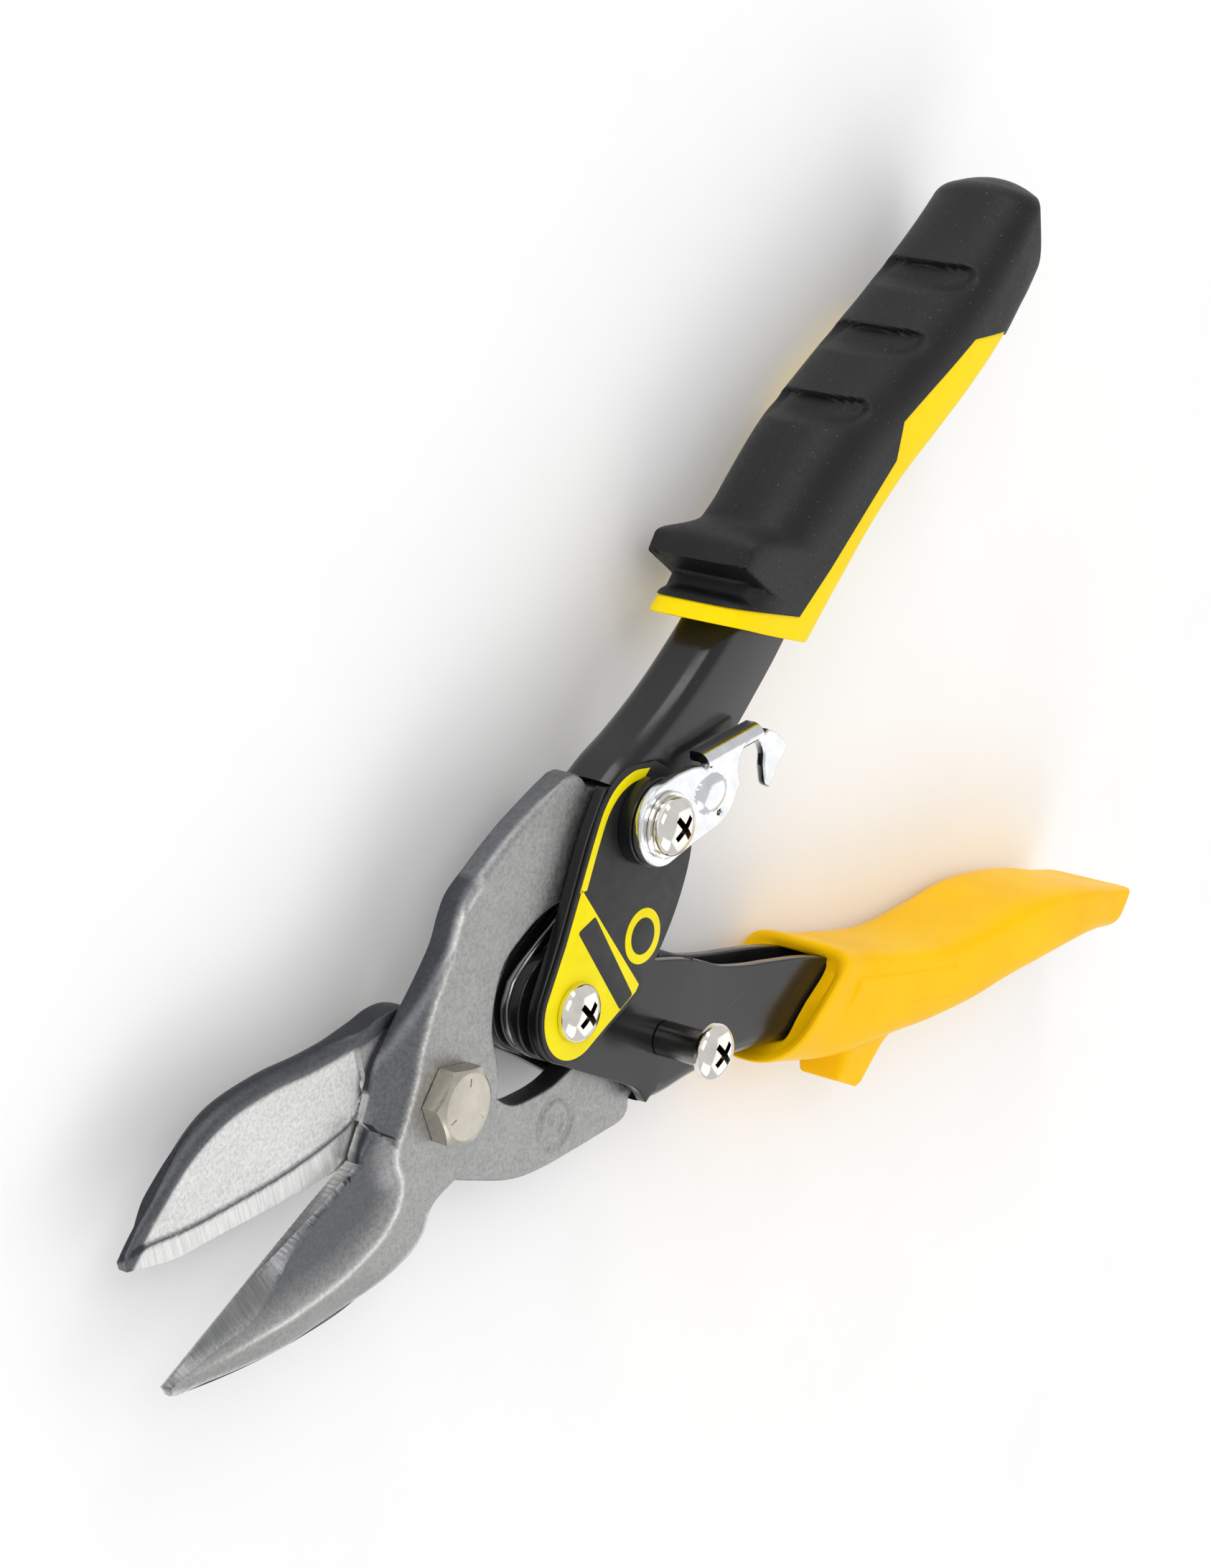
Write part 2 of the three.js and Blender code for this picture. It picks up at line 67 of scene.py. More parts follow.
# Heights above the shear plane, as in the CAD.
JAW_THICK = 4.4
SHEAR_GAP = 0.15
WALL = 2.0
CHANNEL_TOP = 7.0
CHANNEL_BOTTOM = -3.4
LABEL_BOTTOM = 7.05
LABEL_TOP = 7.65
LATCH_BOTTOM = 10.1
LATCH_TOP = 11.7
GRIP_CENTRE = (CHANNEL_TOP + CHANNEL_BOTTOM) / 2

# Radii of the screws, of the holes they stay still in, and of the holes that parts turn on.
SCREW_R = 2.2
HOLE_R = 2.25
TURN_HOLE_R = 2.5
BOLT_TURN_HOLE_R = 4.2


def on_handle(points):
    """Points [u, v] of the upper handle's frame, u along its link and v outwards, in the plane."""
    points = np.asarray(points, float)
    return HANDLE_PIVOT + points[:, :1] * ALONG + points[:, 1:2] * OUTWARDS


# ---------- curves in the plane ----------

CIRCLE_STEPS = 48
CORNER_STEPS = 6
LEAST_STEP = 0.05  # points closer than this are one point


def lengths(vectors):
    return np.linalg.norm(vectors, axis=1)


def spline(points, spacing=0.8):
    """A smooth curve through points, as points about spacing apart."""
    points = np.asarray(points, float)
    padded = np.vstack((2 * points[0] - points[1], points, 2 * points[-1] - points[-2]))
    out = []
    for i in range(1, len(padded) - 2):
        before, start, end, after = padded[i - 1:i + 3]
        steps = max(1, int(round(np.linalg.norm(end - start) / spacing)))
        t = (np.arange(steps) / steps)[:, None]
        out.append(0.5 * (2 * start + (end - before) * t + (2 * before - 5 * start + 4 * end - after) * t ** 2
                          + (3 * start - before - 3 * end + after) * t ** 3))
    return np.vstack(out + [points[-1:]])


def straight(points, spacing=0.8):
    """The straight stretches through points, as points about spacing apart."""
    points = np.asarray(points, float)
    out = []
    for start, end in zip(points[:-1], points[1:]):
        steps = max(1, int(round(np.linalg.norm(end - start) / spacing)))
        out.append(start + (end - start) * (np.arange(steps) / steps)[:, None])
    return np.vstack(out + [points[-1:]])


def arc(centre, radius, first, last, steps=24):
    angle = np.radians(np.linspace(first, last, steps + 1))
    return np.asarray(centre, float) + radius * np.stack((np.cos(angle), np.sin(angle)), 1)


def circle(centre, radius):
    return arc(centre, radius, 0, 360, CIRCLE_STEPS)[:-1]


def rounded(corners, radius):
    """A polygon with its corners rounded to radius, or to what fits."""
    corners = np.asarray(corners, float)
    out = []
    for before, here, after in zip(np.roll(corners, 1, 0), corners, np.roll(corners, -1, 0)):
        back, ahead = np.linalg.norm(before - here), np.linalg.norm(after - here)
        to_before, to_after = (before - here) / back, (after - here) / ahead
        half = 0.5 * math.acos(np.clip(to_before @ to_after, -1, 1))
        cut = min(radius / math.tan(half), 0.45 * back, 0.45 * ahead)
        start, end = here + to_before * cut, here + to_after * cut
        for t in np.linspace(0, 1, CORNER_STEPS + 1):
            out.append((1 - t) ** 2 * start + 2 * t * (1 - t) * here + t ** 2 * end)
    return np.array(out)


def clean(loop):
    """The loop without points that repeat the one before, turned counter-clockwise."""
    keep = lengths(loop - np.roll(loop, 1, 0)) > LEAST_STEP
    loop = loop[keep]
    x, y = loop.T
    area = np.sum(x * np.roll(y, -1) - np.roll(x, -1) * y)
    return loop if area > 0 else loop[::-1]


def inset(loop, distance):
    """The counter-clockwise loop moved inwards by distance, one number or one for each point."""
    along = np.roll(loop, -1, 0) - np.roll(loop, 1, 0)
    along /= lengths(along)[:, None]
    return loop + np.stack((-along[:, 1], along[:, 0]), 1) * np.reshape(distance, (-1, 1))


def distance_to(points, line):
    """Distance from each point to the open polyline."""
    best = np.full(len(points), 1e9)
    for start, end in zip(line[:-1], line[1:]):
        edge = end - start
        t = np.clip((points - start) @ edge / max(edge @ edge, 1e-9), 0, 1)
        best = np.minimum(best, lengths(points - start - t[:, None] * edge))
    return best


def inside(points, loop):
    """Which points lie inside the closed loop."""
    x, y = points.T
    result = np.zeros(len(points), bool)
    for (x0, y0), (x1, y1) in zip(loop, np.roll(loop, -1, 0)):
        crosses = (y0 > y) != (y1 > y)
        if y1 != y0:
            result ^= crosses & (x < (x1 - x0) * (y - y0) / (y1 - y0) + x0)
    return result


def smoothstep(value, low, high):
    t = np.clip((value - low) / (high - low), 0, 1)
    return t * t * (3 - 2 * t)


# ---------- making pieces ----------

SHARP_ANGLE = math.radians(32)
TURN_STEPS = 64  # points round a turned piece
EDGE_STEPS = 5  # points across a plate's rounded edge
HOLE_EDGE = 0.3  # rounding of a hole's rim
RIM_ROOM = 0.3  # from a face's rim to the points that fill it
HOLE_ROOM = 0.6  # from a hole's rim to them


class Solid:
    """Points in millimetres and the faces between them."""

    def __init__(self, points, faces):
        self.points = np.asarray(points, float)
        self.faces = faces

    def twin(self):
        """The same solid on the other side: half a turn about the X axis through the shear plane."""
        return Solid(self.points * (1, -1, -1), self.faces)

    def mesh(self, name):
        mesh = bpy.data.meshes.new(name)
        mesh.from_pydata(((self.points + (0, 0, MID)) * MM).tolist(), [], self.faces)
        mesh.validate()
        mesh.update()
        return mesh


def new_object(name, data):
    obj = bpy.data.objects.new(name, data)
    bpy.context.scene.collection.objects.link(obj)
    return obj


def from_object(obj):
    """The object's mesh, modifiers applied, as a Solid, and the object removed."""
    depsgraph = bpy.context.evaluated_depsgraph_get()
    mesh = bpy.data.meshes.new_from_object(obj.evaluated_get(depsgraph))
    points = [v.co / MM - Vector((0, 0, MID)) for v in mesh.vertices]
    bpy.data.objects.remove(obj)
    return Solid(points, [list(p.vertices) for p in mesh.polygons])


def combine(first, second, operation):
    """Two solids joined (UNION), cut (DIFFERENCE) or overlapped (INTERSECT)."""
    base, other = (new_object("work", solid.mesh("work")) for solid in (first, second))
    modifier = base.modifiers.new("cut", "BOOLEAN")
    modifier.operation = operation
    modifier.object = other
    modifier.solver = "EXACT"
    bpy.context.view_layer.update()
    result = from_object(base)
    bpy.data.objects.remove(other)
    return result


def piece(name, solid, body, finish, node=None, values=None):
    """A visible piece: rides on body and, with node, stands for that CAD node. finish is its material and its
    slot, and the slot is not used; values are numbers for its points, by name, that the material reads."""
    material, slot = finish
    mesh = solid.mesh(name)
    obj = new_object(name, mesh)
    for key, numbers in (values or {}).items():
        mesh.attributes.new(key, "FLOAT", "POINT").data.foreach_set("value", numbers.astype(np.float32))
    mesh.shade_smooth()
    mesh.set_sharp_from_angle(angle=SHARP_ANGLE)
    mesh.materials.append(material)
    if node:
        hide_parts(node)
    if body:
        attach(obj, body)
    return obj


def bridge(count, rows, start=0):
    """Quads between rows of count points each, where each row follows the one before."""
    faces = []
    for row in range(rows - 1):
        low, high = start + row * count, start + (row + 1) * count
        for i in range(count):
            j = (i + 1) % count
            faces.append((low + i, low + j, high + j, high + i))
    return faces


def loft(rings):
    """A closed skin over rings of 3-D points, capped with flat faces."""
    count = len(rings[0])
    last = (len(rings) - 1) * count
    faces = bridge(count, len(rings)) + [tuple(range(count - 1, -1, -1)), tuple(range(last, last + count))]
    return Solid(np.vstack(rings), faces)


def turned_points(centre, profile):
    """The profile's [radius, height] points, each carried round the upright line through centre."""
    angle = np.linspace(0, 2 * math.pi, TURN_STEPS, endpoint=False)
    return [(centre[0] + r * math.cos(a), centre[1] + r * math.sin(a), z) for r, z in profile for a in angle]


def revolve(centre, profile):
    """A turned solid: profile is [radius, height] points from axis to axis, going up."""
    rows = profile[1:-1]
    points = turned_points(centre, rows)
    faces = bridge(TURN_STEPS, len(rows))
    bottom, top, last = len(points), len(points) + 1, (len(rows) - 1) * TURN_STEPS
    points += [(*centre, profile[0][1]), (*centre, profile[-1][1])]
    for i in range(TURN_STEPS):
        j = (i + 1) % TURN_STEPS
        faces += [(bottom, j, i), (top, last + i, last + j)]
    return Solid(points, faces)


def tube_ring(centre, profile):
    """A turned ring: profile is a closed loop of [radius, height] points, counter-clockwise."""
    faces = bridge(TURN_STEPS, len(profile))
    last = (len(profile) - 1) * TURN_STEPS
    for i in range(TURN_STEPS):
        j = (i + 1) % TURN_STEPS
        faces.append((last + i, last + j, j, i))
    return Solid(turned_points(centre, profile), faces)


def level_at(points, height):
    """The height at each point; height is a number or a function of points."""
    return height(points) if callable(height) else np.full(len(points), float(height))


def rounded_rim(loop, side, height, radius):
    """The rings that round a plate's edge, going up; side is 1 for its top edge and -1 for its bottom."""
    rings = []
    for angle in np.linspace(0, math.pi / 2, EDGE_STEPS):
        flat = inset(loop, radius * (1 - math.cos(angle)))
        level = level_at(flat, height) - side * radius * (1 - math.sin(angle))
        rings.append(np.column_stack((flat, level)))
    return rings[::side]


def filling(rim, holes, spacing, extra):
    """A grid of points over a face, with the extra points, all clear of its rim and its holes."""
    grid = np.meshgrid(*(np.arange(low, high, spacing) for low, high in zip(rim.min(0), rim.max(0))))
    points = np.vstack((np.stack(grid, -1).reshape(-1, 2), *extra))
    points = points[inside(points, rim)]
    points = points[distance_to(points, np.vstack((rim, rim[:1]))) > RIM_ROOM]
    for centre, radius in holes:
        points = points[lengths(points - centre) > radius + HOLE_ROOM]
    return points


def cover(points, loops, side, height, holes, spacing, extra):
    """The triangles of a plate's face. Its loops are point numbers, the rim's first, and the points that fill
    the face are added to points."""
    rims = np.concatenate(loops)
    flat = np.array([points[i][:2] for i in rims])
    edges, start = [], 0
    for loop in loops:
        edges += [(start + i, start + (i + 1) % len(loop)) for i in range(len(loop))]
        start += len(loop)
    if spacing:
        flat = np.vstack((flat, filling(flat[:len(loops[0])], holes, spacing, extra)))
    vertices, _, triangles, origins, _, _ = delaunay_2d_cdt([Vector(p) for p in flat], edges, [], 1, 1e-5)
    number = []
    for vertex, level, origin in zip(vertices, level_at(np.array(vertices), height), origins):
        if origin and origin[0] < len(rims):
            number.append(int(rims[origin[0]]))
        else:
            number.append(len(points))
            points.append((vertex.x, vertex.y, level))
    faces = []
    for triangle in triangles:
        middle = sum((vertices[i] for i in triangle), Vector((0, 0))) / 3
        if all(math.dist(middle, centre) >= radius for centre, radius in holes):
            faces.append(tuple(number[i] for i in triangle[::side]))
    return faces


def relief(outline, bottom, top, edge=0.3, bottom_edge=None, holes=(), spacing=None, extra=()):
    """A plate with rounded edges. top and bottom are heights, or functions of points; edge and bottom_edge
    are radii, one number or one for each outline point; holes are (centre, radius); spacing fills the faces
    with points for reliefs; extra are further points on the faces, such as creases."""
    sides = ((-1, bottom, edge if bottom_edge is None else bottom_edge), (1, top, edge))
    points, faces, rims = [], [], {-1: [], 1: []}
    hole_loops = [circle(centre, radius)[::-1] for centre, radius in holes]
    for index, loop in enumerate([clean(outline)] + hole_loops):
        rings = []
        for side, height, radius in sides:
            radii = np.broadcast_to(HOLE_EDGE if index else radius, len(loop))
            rings += rounded_rim(loop, side, height, radii)
        start, last = len(points), len(points) + (len(rings) - 1) * len(loop)
        points += [tuple(p) for ring in rings for p in ring]
        faces += bridge(len(loop), len(rings), start)
        rims[-1].append(np.arange(start, start + len(loop)))
        rims[1].append(np.arange(last, last + len(loop)))
    for side, height, _ in sides:
        faces += cover(points, rims[side], side, height, holes, spacing, extra)
    return Solid(points, faces)


def hex_prism(centre, across, turn, bottom, top, spacing, holes=()):
    """A hexagonal plate, with points about spacing apart along its sides."""
    corners = arc(centre, across / math.sqrt(3), turn, turn + 360, 6)
    return relief(straight(corners, spacing), bottom, top, 0.12, holes=holes)


# ---------- materials ----------

class Nodes:
    """A material's node tree, with short calls for what the finishes share."""

    def __init__(self, name):
        self.material = bpy.data.materials.new(name)
        self.material.use_nodes = True
        self.tree = self.material.node_tree
        self.shader = self.tree.nodes["Principled BSDF"]
        self.place = self.tree.nodes.new("ShaderNodeTexCoord").outputs["Object"]

    def add(self, kind, **values):
        node = self.tree.nodes.new(kind)
        for key, value in values.items():
            if key in node.inputs:
                node.inputs[key].default_value = value
            else:
                setattr(node, key, value)
        return node

    def link(self, output, target):
        self.tree.links.new(output, target)

    def scaled(self, stretch):
        node = self.add("ShaderNodeMapping", Scale=stretch)
        self.link(self.place, node.inputs["Vector"])
        return node.outputs["Vector"]

    def noise(self, size_mm, detail=3.0, roughness=0.55, stretch=(1, 1, 1)):
        node = self.add("ShaderNodeTexNoise", Scale=1 / (size_mm * MM), Detail=detail, Roughness=roughness)
        self.link(self.scaled(stretch), node.inputs["Vector"])
        return node.outputs["Fac"]

    def ramp(self, source, stops):
        """A colour or grey ramp; stops are (position, colour or number)."""
        node = self.add("ShaderNodeValToRGB")
        elements = node.color_ramp.elements
        while len(elements) < len(stops):
            elements.new(0.5)
        for element, (position, value) in zip(elements, stops):
            element.position = position
            colour = value if isinstance(value, tuple) else (value,) * 3
            element.color = (*colour, 1)
        self.link(source, node.inputs["Fac"])
        return node.outputs["Color"]

    def blotches(self, size_mm, low, high, detail=3.0, roughness=0.55):
        """Patches about size_mm across that run from low to high, each a colour or a number."""
        return self.ramp(self.noise(size_mm, detail, roughness), [(0.3, low), (0.7, high)])

    def feed(self, socket, value):
        """Sets the socket to a number or a colour, or links it to another socket."""
        if isinstance(value, bpy.types.NodeSocket):
            self.link(value, socket)
        elif isinstance(value, tuple):
            socket.default_value = (*value, 1)
        else:
            socket.default_value = value

    def mix(self, factor, first, second, blend="MIX"):
        node = self.add("ShaderNodeMix", data_type="RGBA", blend_type=blend)
        for index, value in ((0, factor), (6, first), (7, second)):
            self.feed(node.inputs[index], value)
        return node.outputs[2]

    def attribute(self, name):
        return self.add("ShaderNodeAttribute", attribute_name=name).outputs["Fac"]

    def upright(self):
        """1 where the surface faces up or down, 0 on upright walls."""
        normal = self.add("ShaderNodeSeparateXYZ")
        self.link(self.add("ShaderNodeNewGeometry").outputs["Normal"], normal.inputs[0])
        size = self.add("ShaderNodeMath", operation="ABSOLUTE")
        self.link(normal.outputs["Z"], size.inputs[0])
        return size.outputs[0]

    def seam(self, height, half_width):
        """1 on a thin level line at height, where two halves of a mould met."""
        place = self.add("ShaderNodeSeparateXYZ")
        self.link(self.place, place.inputs[0])
        line = self.add("ShaderNodeMath", operation="COMPARE")
        self.link(place.outputs["Z"], line.inputs[0])
        line.inputs[1].default_value = height
        line.inputs[2].default_value = half_width
        return line.outputs[0]

    def bump(self, height, depth_mm, before=None):
        node = self.add("ShaderNodeBump", Strength=1.0, Distance=depth_mm * MM)
        self.link(height, node.inputs["Height"])
        if before:
            self.link(before, node.inputs["Normal"])
        return node.outputs["Normal"]

    def finish(self, colour, roughness, normal, metallic=0.0, coat=0.0, coat_roughness=0.1, specular=0.5):
        inputs = self.shader.inputs
        self.feed(inputs["Base Color"], colour)
        self.feed(inputs["Roughness"], roughness)
        self.link(normal, inputs["Normal"])
        inputs["Metallic"].default_value = metallic
        inputs["Coat Weight"].default_value = coat
        inputs["Coat Roughness"].default_value = coat_roughness
        inputs["Specular IOR Level"].default_value = specular
        return self.material


def forged_steel():
    """Blasted forging with pebbled skin, and painted shade on its upright sides; "ground" 1 is ground across
    the edge, and "tone" is painted light and shade, from 0, dark, to 1, bright."""
    m = Nodes("forged_steel")
    ground = m.attribute("ground")
    # the tone ramp turns the painted light and shade set on the jaws' points into colour
    tone = m.ramp(m.attribute("tone"), [(0.0, (0.06, 0.062, 0.066)), (0.25, (0.15, 0.155, 0.165)),
                                        (0.5, (0.4, 0.4, 0.395)), (1.0, (0.86, 0.86, 0.85))])
    mottle = m.blotches(5, 0.92, 1.0, 5, 0.65)
    skin = m.ramp(m.noise(0.6, 5, 0.65), [(0.34, 0.72), (0.6, 1.0)])
    lines = m.noise(0.3, 2, 0.5, stretch=(1, 0.05, 0.05))
    cut = m.ramp(lines, [(0.35, 0.74), (0.65, 1.0)])
    grain = m.mix(ground, m.mix(1.0, mottle, skin, "MULTIPLY"), cut)
    colour = m.mix(1.0, tone, grain, "MULTIPLY")
    # painted shade: upright walls off the ground bevel are darkened, standing in for the dark surroundings
    # they face
    steep_side_shade = m.mix(ground, m.ramp(m.upright(), [(0.3, 1.0), (0.75, 0.0)]), (0, 0, 0))
    colour = m.mix(steep_side_shade, colour, m.mix(1.0, colour, (0.42, 0.43, 0.46), "MULTIPLY"))
    # bright crests from pointiness: partly edge wear, partly a painted highlight along the crests
    edge_wear_and_highlight = m.ramp(m.add("ShaderNodeNewGeometry").outputs["Pointiness"], [(0.55, 0.0), (0.66, 0.6)])
    colour = m.mix(edge_wear_and_highlight, colour, (0.62, 0.62, 0.61))
    roughness = m.mix(ground, m.blotches(1.2, 0.38, 0.5), (0.36, 0.36, 0.36))
    pebble = m.bump(m.noise(0.42, 4, 0.6), 0.05)
    return m.finish(colour, roughness, m.bump(lines, 0.012, pebble), metallic=0.92)


def black_coating():
    """Semi-gloss black on stamped steel, with slight orange peel, dust and handling scratches."""
    m = Nodes("black_coating")
    specks = m.ramp(m.noise(0.55, 2, 0.5), [(0.74, 0.0), (0.8, 1.0)])
    scratches = m.ramp(m.noise(0.5, 2, 0.4, stretch=(0.05, 1, 1)), [(0.72, 0.0), (0.78, 0.5)])
    base = m.blotches(14, (0.006, 0.0063, 0.0075), (0.0095, 0.01, 0.0115))
    colour = m.mix(m.mix(1.0, specks, scratches, "ADD"), base, (0.05, 0.05, 0.052))
    roughness = m.blotches(5, 0.2, 0.28)
    peel = m.bump(m.noise(0.9), 0.014)
    return m.finish(colour, roughness, peel, coat=0.2, coat_roughness=0.12, specular=0.3)


def label_film():
    m = Nodes("label_film")
    grain = m.noise(0.28, 3, 0.6)
    colour = m.ramp(grain, [(0.3, (0.007, 0.007, 0.0075)), (0.7, (0.017, 0.017, 0.018))])
    return m.finish(colour, m.blotches(3, 0.38, 0.5), m.bump(grain, 0.03), specular=0.35)


def printed_yellow():
    m = Nodes("printed_yellow")
    colour = m.blotches(4, (0.87, 0.72, 0.0), (0.93, 0.79, 0.002))
    return m.finish(colour, m.blotches(1.5, 0.34, 0.44), m.bump(m.noise(0.35), 0.008), specular=0.12)


def plated(name, tone, rough, depth, size):
    """Bright plating, with painted shade where "recess" is 1; depth and size are those of the fine texture
    under it.
    """
    m = Nodes(name)
    shade = tuple(0.86 * c for c in tone)
    recess = m.attribute("recess")
    # painted shade down in the screw's cross recess
    colour = m.mix(recess, m.ramp(m.noise(2.5, 4), [(0.3, shade), (0.65, tone)]), (0.11, 0.09, 0.07))
    roughness = m.blotches(1.1, rough * 0.8, rough * 1.25, 4)
    return m.finish(colour, roughness, m.bump(m.noise(size, 4), depth), metallic=1.0)


def turned_steel(name, tone, rough):
    """Dark or bright turned steel, with fine rings around the upright axis."""
    m = Nodes(name)
    rings = m.noise(0.16, 2, 0.5, stretch=(0.05, 0.05, 1))
    colour = m.ramp(rings, [(0.3, tuple(0.8 * c for c in tone)), (0.7, tone)])
    roughness = m.blotches(1.5, rough * 0.85, rough * 1.2)
    return m.finish(colour, roughness, m.bump(rings, 0.008), metallic=1.0)


def black_rubber():
    """Matt rubber with fine speckle, with painted shade down in the finger grooves, and the mould's seam."""
    m = Nodes("black_rubber")
    dust = m.ramp(m.noise(0.45, 2, 0.5), [(0.7, 0.0), (0.76, 1.0)])
    base = m.blotches(9, (0.0045, 0.0048, 0.0058), (0.0075, 0.008, 0.0095), 4)
    # painted shade down in the finger grooves
    base = m.mix(m.attribute("groove"), base, (0.0025, 0.0026, 0.003))
    seam = m.seam((GRIP_CENTRE + MID) * MM, 0.14 * MM)
    colour = m.mix(seam, m.mix(dust, base, (0.085, 0.09, 0.095)), (0.004, 0.004, 0.004))
    roughness = m.blotches(0.8, 0.42, 0.52)
    return m.finish(colour, roughness, m.bump(m.noise(0.22, 3, 0.6), 0.022), specular=0.3)


def moulded_plastic(name, deep, light):
    m = Nodes(name)
    colour = m.blotches(18, deep, light)
    roughness = m.blotches(1.6, 0.36, 0.46)
    material = m.finish(colour, roughness, m.bump(m.noise(0.4), 0.008), specular=0.08)
    m.shader.inputs["Subsurface Weight"].default_value = 0.1
    m.shader.inputs["Subsurface Radius"].default_value = (1.0, 0.5, 0.1)
    m.shader.inputs["Subsurface Scale"].default_value = 1.2 * MM
    return material


# Each finish is a material and the slot it belongs to.
steel = (forged_steel(), "forged_steel")
coating = (black_coating(), "black_steel")
film = (label_film(), "label")
print_yellow = (printed_yellow(), "label")
chrome = (plated("latch_chrome", (0.8, 0.81, 0.83), 0.15, 0.03, 0.7), "chrome")
nickel = (plated("screw_nickel", (0.86, 0.83, 0.78), 0.1, 0.002, 0.5), "nickel")
bolt_plating = (plated("bolt_plating", (0.52, 0.49, 0.42), 0.26, 0.006, 0.35), "nickel")
dark_steel = (turned_steel("dark_steel", (0.24, 0.23, 0.22), 0.24), "dark_steel")
bright_turned = (turned_steel("bright_turned", (0.66, 0.64, 0.6), 0.25), "nickel")
rubber = (black_rubber(), "black_rubber")
yellow = (moulded_plastic("moulded_yellow", (0.93, 0.66, 0.0), (1.0, 0.74, 0.002)), "yellow_plastic")
golden = (moulded_plastic("moulded_golden", (0.93, 0.51, 0.0), (1.0, 0.58, 0.001)), "golden_plastic")
coated_spacer = (coating[0], "dark_steel")


# ---------- jaws ----------

EDGE_ROOT_X = -18.6
TAIL_LOBE_R = 7.6
TOOTH_PITCH = 0.9
TOOTH_DEPTH = 0.1


def cutting_edge(tip):
    """The cutting edge from the tip to the blade's root, with fine teeth over its inner half."""
    edge = spline([
        tip, (-54, -7.1), (-46, -5.3), (-38.5, -3.6), (-32, -2.2), (-27, -1.1), (EDGE_ROOT_X, 0.5)], 0.225)
    teeth = np.abs((edge[:, 0] / TOOTH_PITCH) % 1 - 0.5) * smoothstep(edge[:, 0], -44, -36)
    edge[:, 1] += 2 * TOOTH_DEPTH * teeth
    return edge


front_edge = cutting_edge((-62.4, -9.0))
rear_edge = cutting_edge((-62.6, -10.8))
edge_line = front_edge[::3]
hub_outer = [(-18.4, 1.3), (-16.9, 2.9), (-14.9, 5), (-12.4, 8)]
front_tail = spline(hub_outer + [
    (-10, 11.6), (-5.5, 14.7), (-2.4, 16.5), (1.6, 18.9), (6.6, 22.4), (9.4, 25.7), (12, 28), (16, 29.4),
    (24.5, 31.8), (33.5, 33.3), (38.2, 33.8)])
rear_tail = spline(hub_outer + [
    (-9.5, 10.8), (-4.5, 13.4), (1.3, 16.6), (6, 19.8), (13.6, 24.7), (20.6, 27.4), (31.2, 29.7), (37, 30.8)])
front_corner = spline([(38.2, 33.8), (40.2, 33.2), (41.6, 31.6), (42.4, 29.6)], 0.4)
rear_corner = spline([(37, 30.8), (40.6, 31.4), (42.6, 30.6), (43.4, 28.8)], 0.4)
tail_inner = spline([
    (44.5, 14), (38, 14.2), (32, 15.5), (27.2, 15.9), (22.1, 15), (17.6, 13.4), (14.4, 9.8), (12.2, 5),
    (11.8, 0), (11.2, -4), (8.8, -7.8), (4.4, -10.9)])
front_spine = spline([
    (2.9, -11.8), (-1.9, -13), (-5.8, -13.4), (-8.2, -14.3), (-9.7, -16.2), (-12, -17.9), (-16, -19.4),
    (-21.8, -20.5), (-27.6, -20.4), (-34.9, -19.2), (-42, -17.6), (-49, -15.6), (-55.6, -13.4), (-60, -11.9),
    (-61.9, -10.7)])
rear_spine = spline([
    (3.2, -12.4), (1.2, -14.4), (-1.4, -16.1), (-4.8, -17), (-9.6, -17.2), (-19.8, -19), (-28.4, -21.1),
    (-38, -22.1), (-47, -20.6), (-55.3, -16.8), (-60.8, -13.6), (-62.9, -12.2)])
lobe = arc(UPPER_LINK, TAIL_LOBE_R, 115, -112)

# The crest runs from the tip along the back of the blade, round the blade's root and up the side of the hub.
crest = spline([
    (-62.2, -9.3), (-58.8, -9.6), (-52.5, -10.6), (-45.8, -11.2), (-39.2, -12), (-29.8, -12.9),
    (-24.5, -12.7), (-19.1, -11.9), (-15, -9.8), (-12.8, -6.5), (-13, -2.9), (-12.4, -0.7)], 0.5)
hub_ridge = spline([
    (-12.4, -0.7), (-8.7, 3), (-5.2, 7.4), (-3.5, 10.3), (-1.4, 13), (1.6, 16.4), (6.5, 20.8), (10.6, 25.6),
    (16, 28.2)], 0.5)
blade_face = np.vstack((crest, [(-17, 9), (-66, 6), (-66, -9.6)]))
blade_back = np.vstack((crest[crest[:, 0] < -12.95][:-10], [(-10.5, -8), (-9, -30), (-70, -30), (-70, -9.6)]))
hub_side = np.vstack((hub_ridge, [(16, 40), (-30, 30), (-19, 5)]))

# A flat facet stands at the blade's root. It is the plane through three of its corners.
foot = np.array([(-15.7, 5.4), (-12.3, 1.3), (-13.4, -2.6), (-17.9, 2.2)])
foot_plane = np.linalg.solve(np.column_stack((foot[:3], np.ones(3))), (3.3, 4.2, 3.9))

# Where the ground bevel along the cutting edge ends.
grind_line = spline([
    (-62.3, -9.1), (-58.9, -9), (-54.5, -8.9), (-47.7, -8.9), (-43.6, -8.3), (-39.9, -6.7), (-36.7, -4.4),
    (-33.4, -3), (-29.3, -1.8), (-23.5, 0.2), (EDGE_ROOT_X, 2.6)], 0.4)
ground_zone = np.vstack((edge_line, grind_line[::-1]))

# The rear jaw's tail has two rings pressed into its shear face. Behind the flat land that face is hollowed.
TAIL_MARK = np.array((26.0, 22.1))
MARK_WIDTH = 0.8
land_line = spline([
    (-61, -12.6), (-57.5, -11.9), (-49.6, -9.5), (-38.9, -7.3), (-31, -5.9), (-22.7, -5.1), (-15.8, -5.3),
    (-12.1, -7.4)], 0.5)
hollow_zone = np.vstack((land_line, [(-11.5, -10), (-11.5, -30), (-70, -30), (-70, -13)]))


def crest_height(x):
    """The blade gets thinner towards its tip."""
    return JAW_THICK - 2.7 * smoothstep(-x, 38, 64) ** 0.9


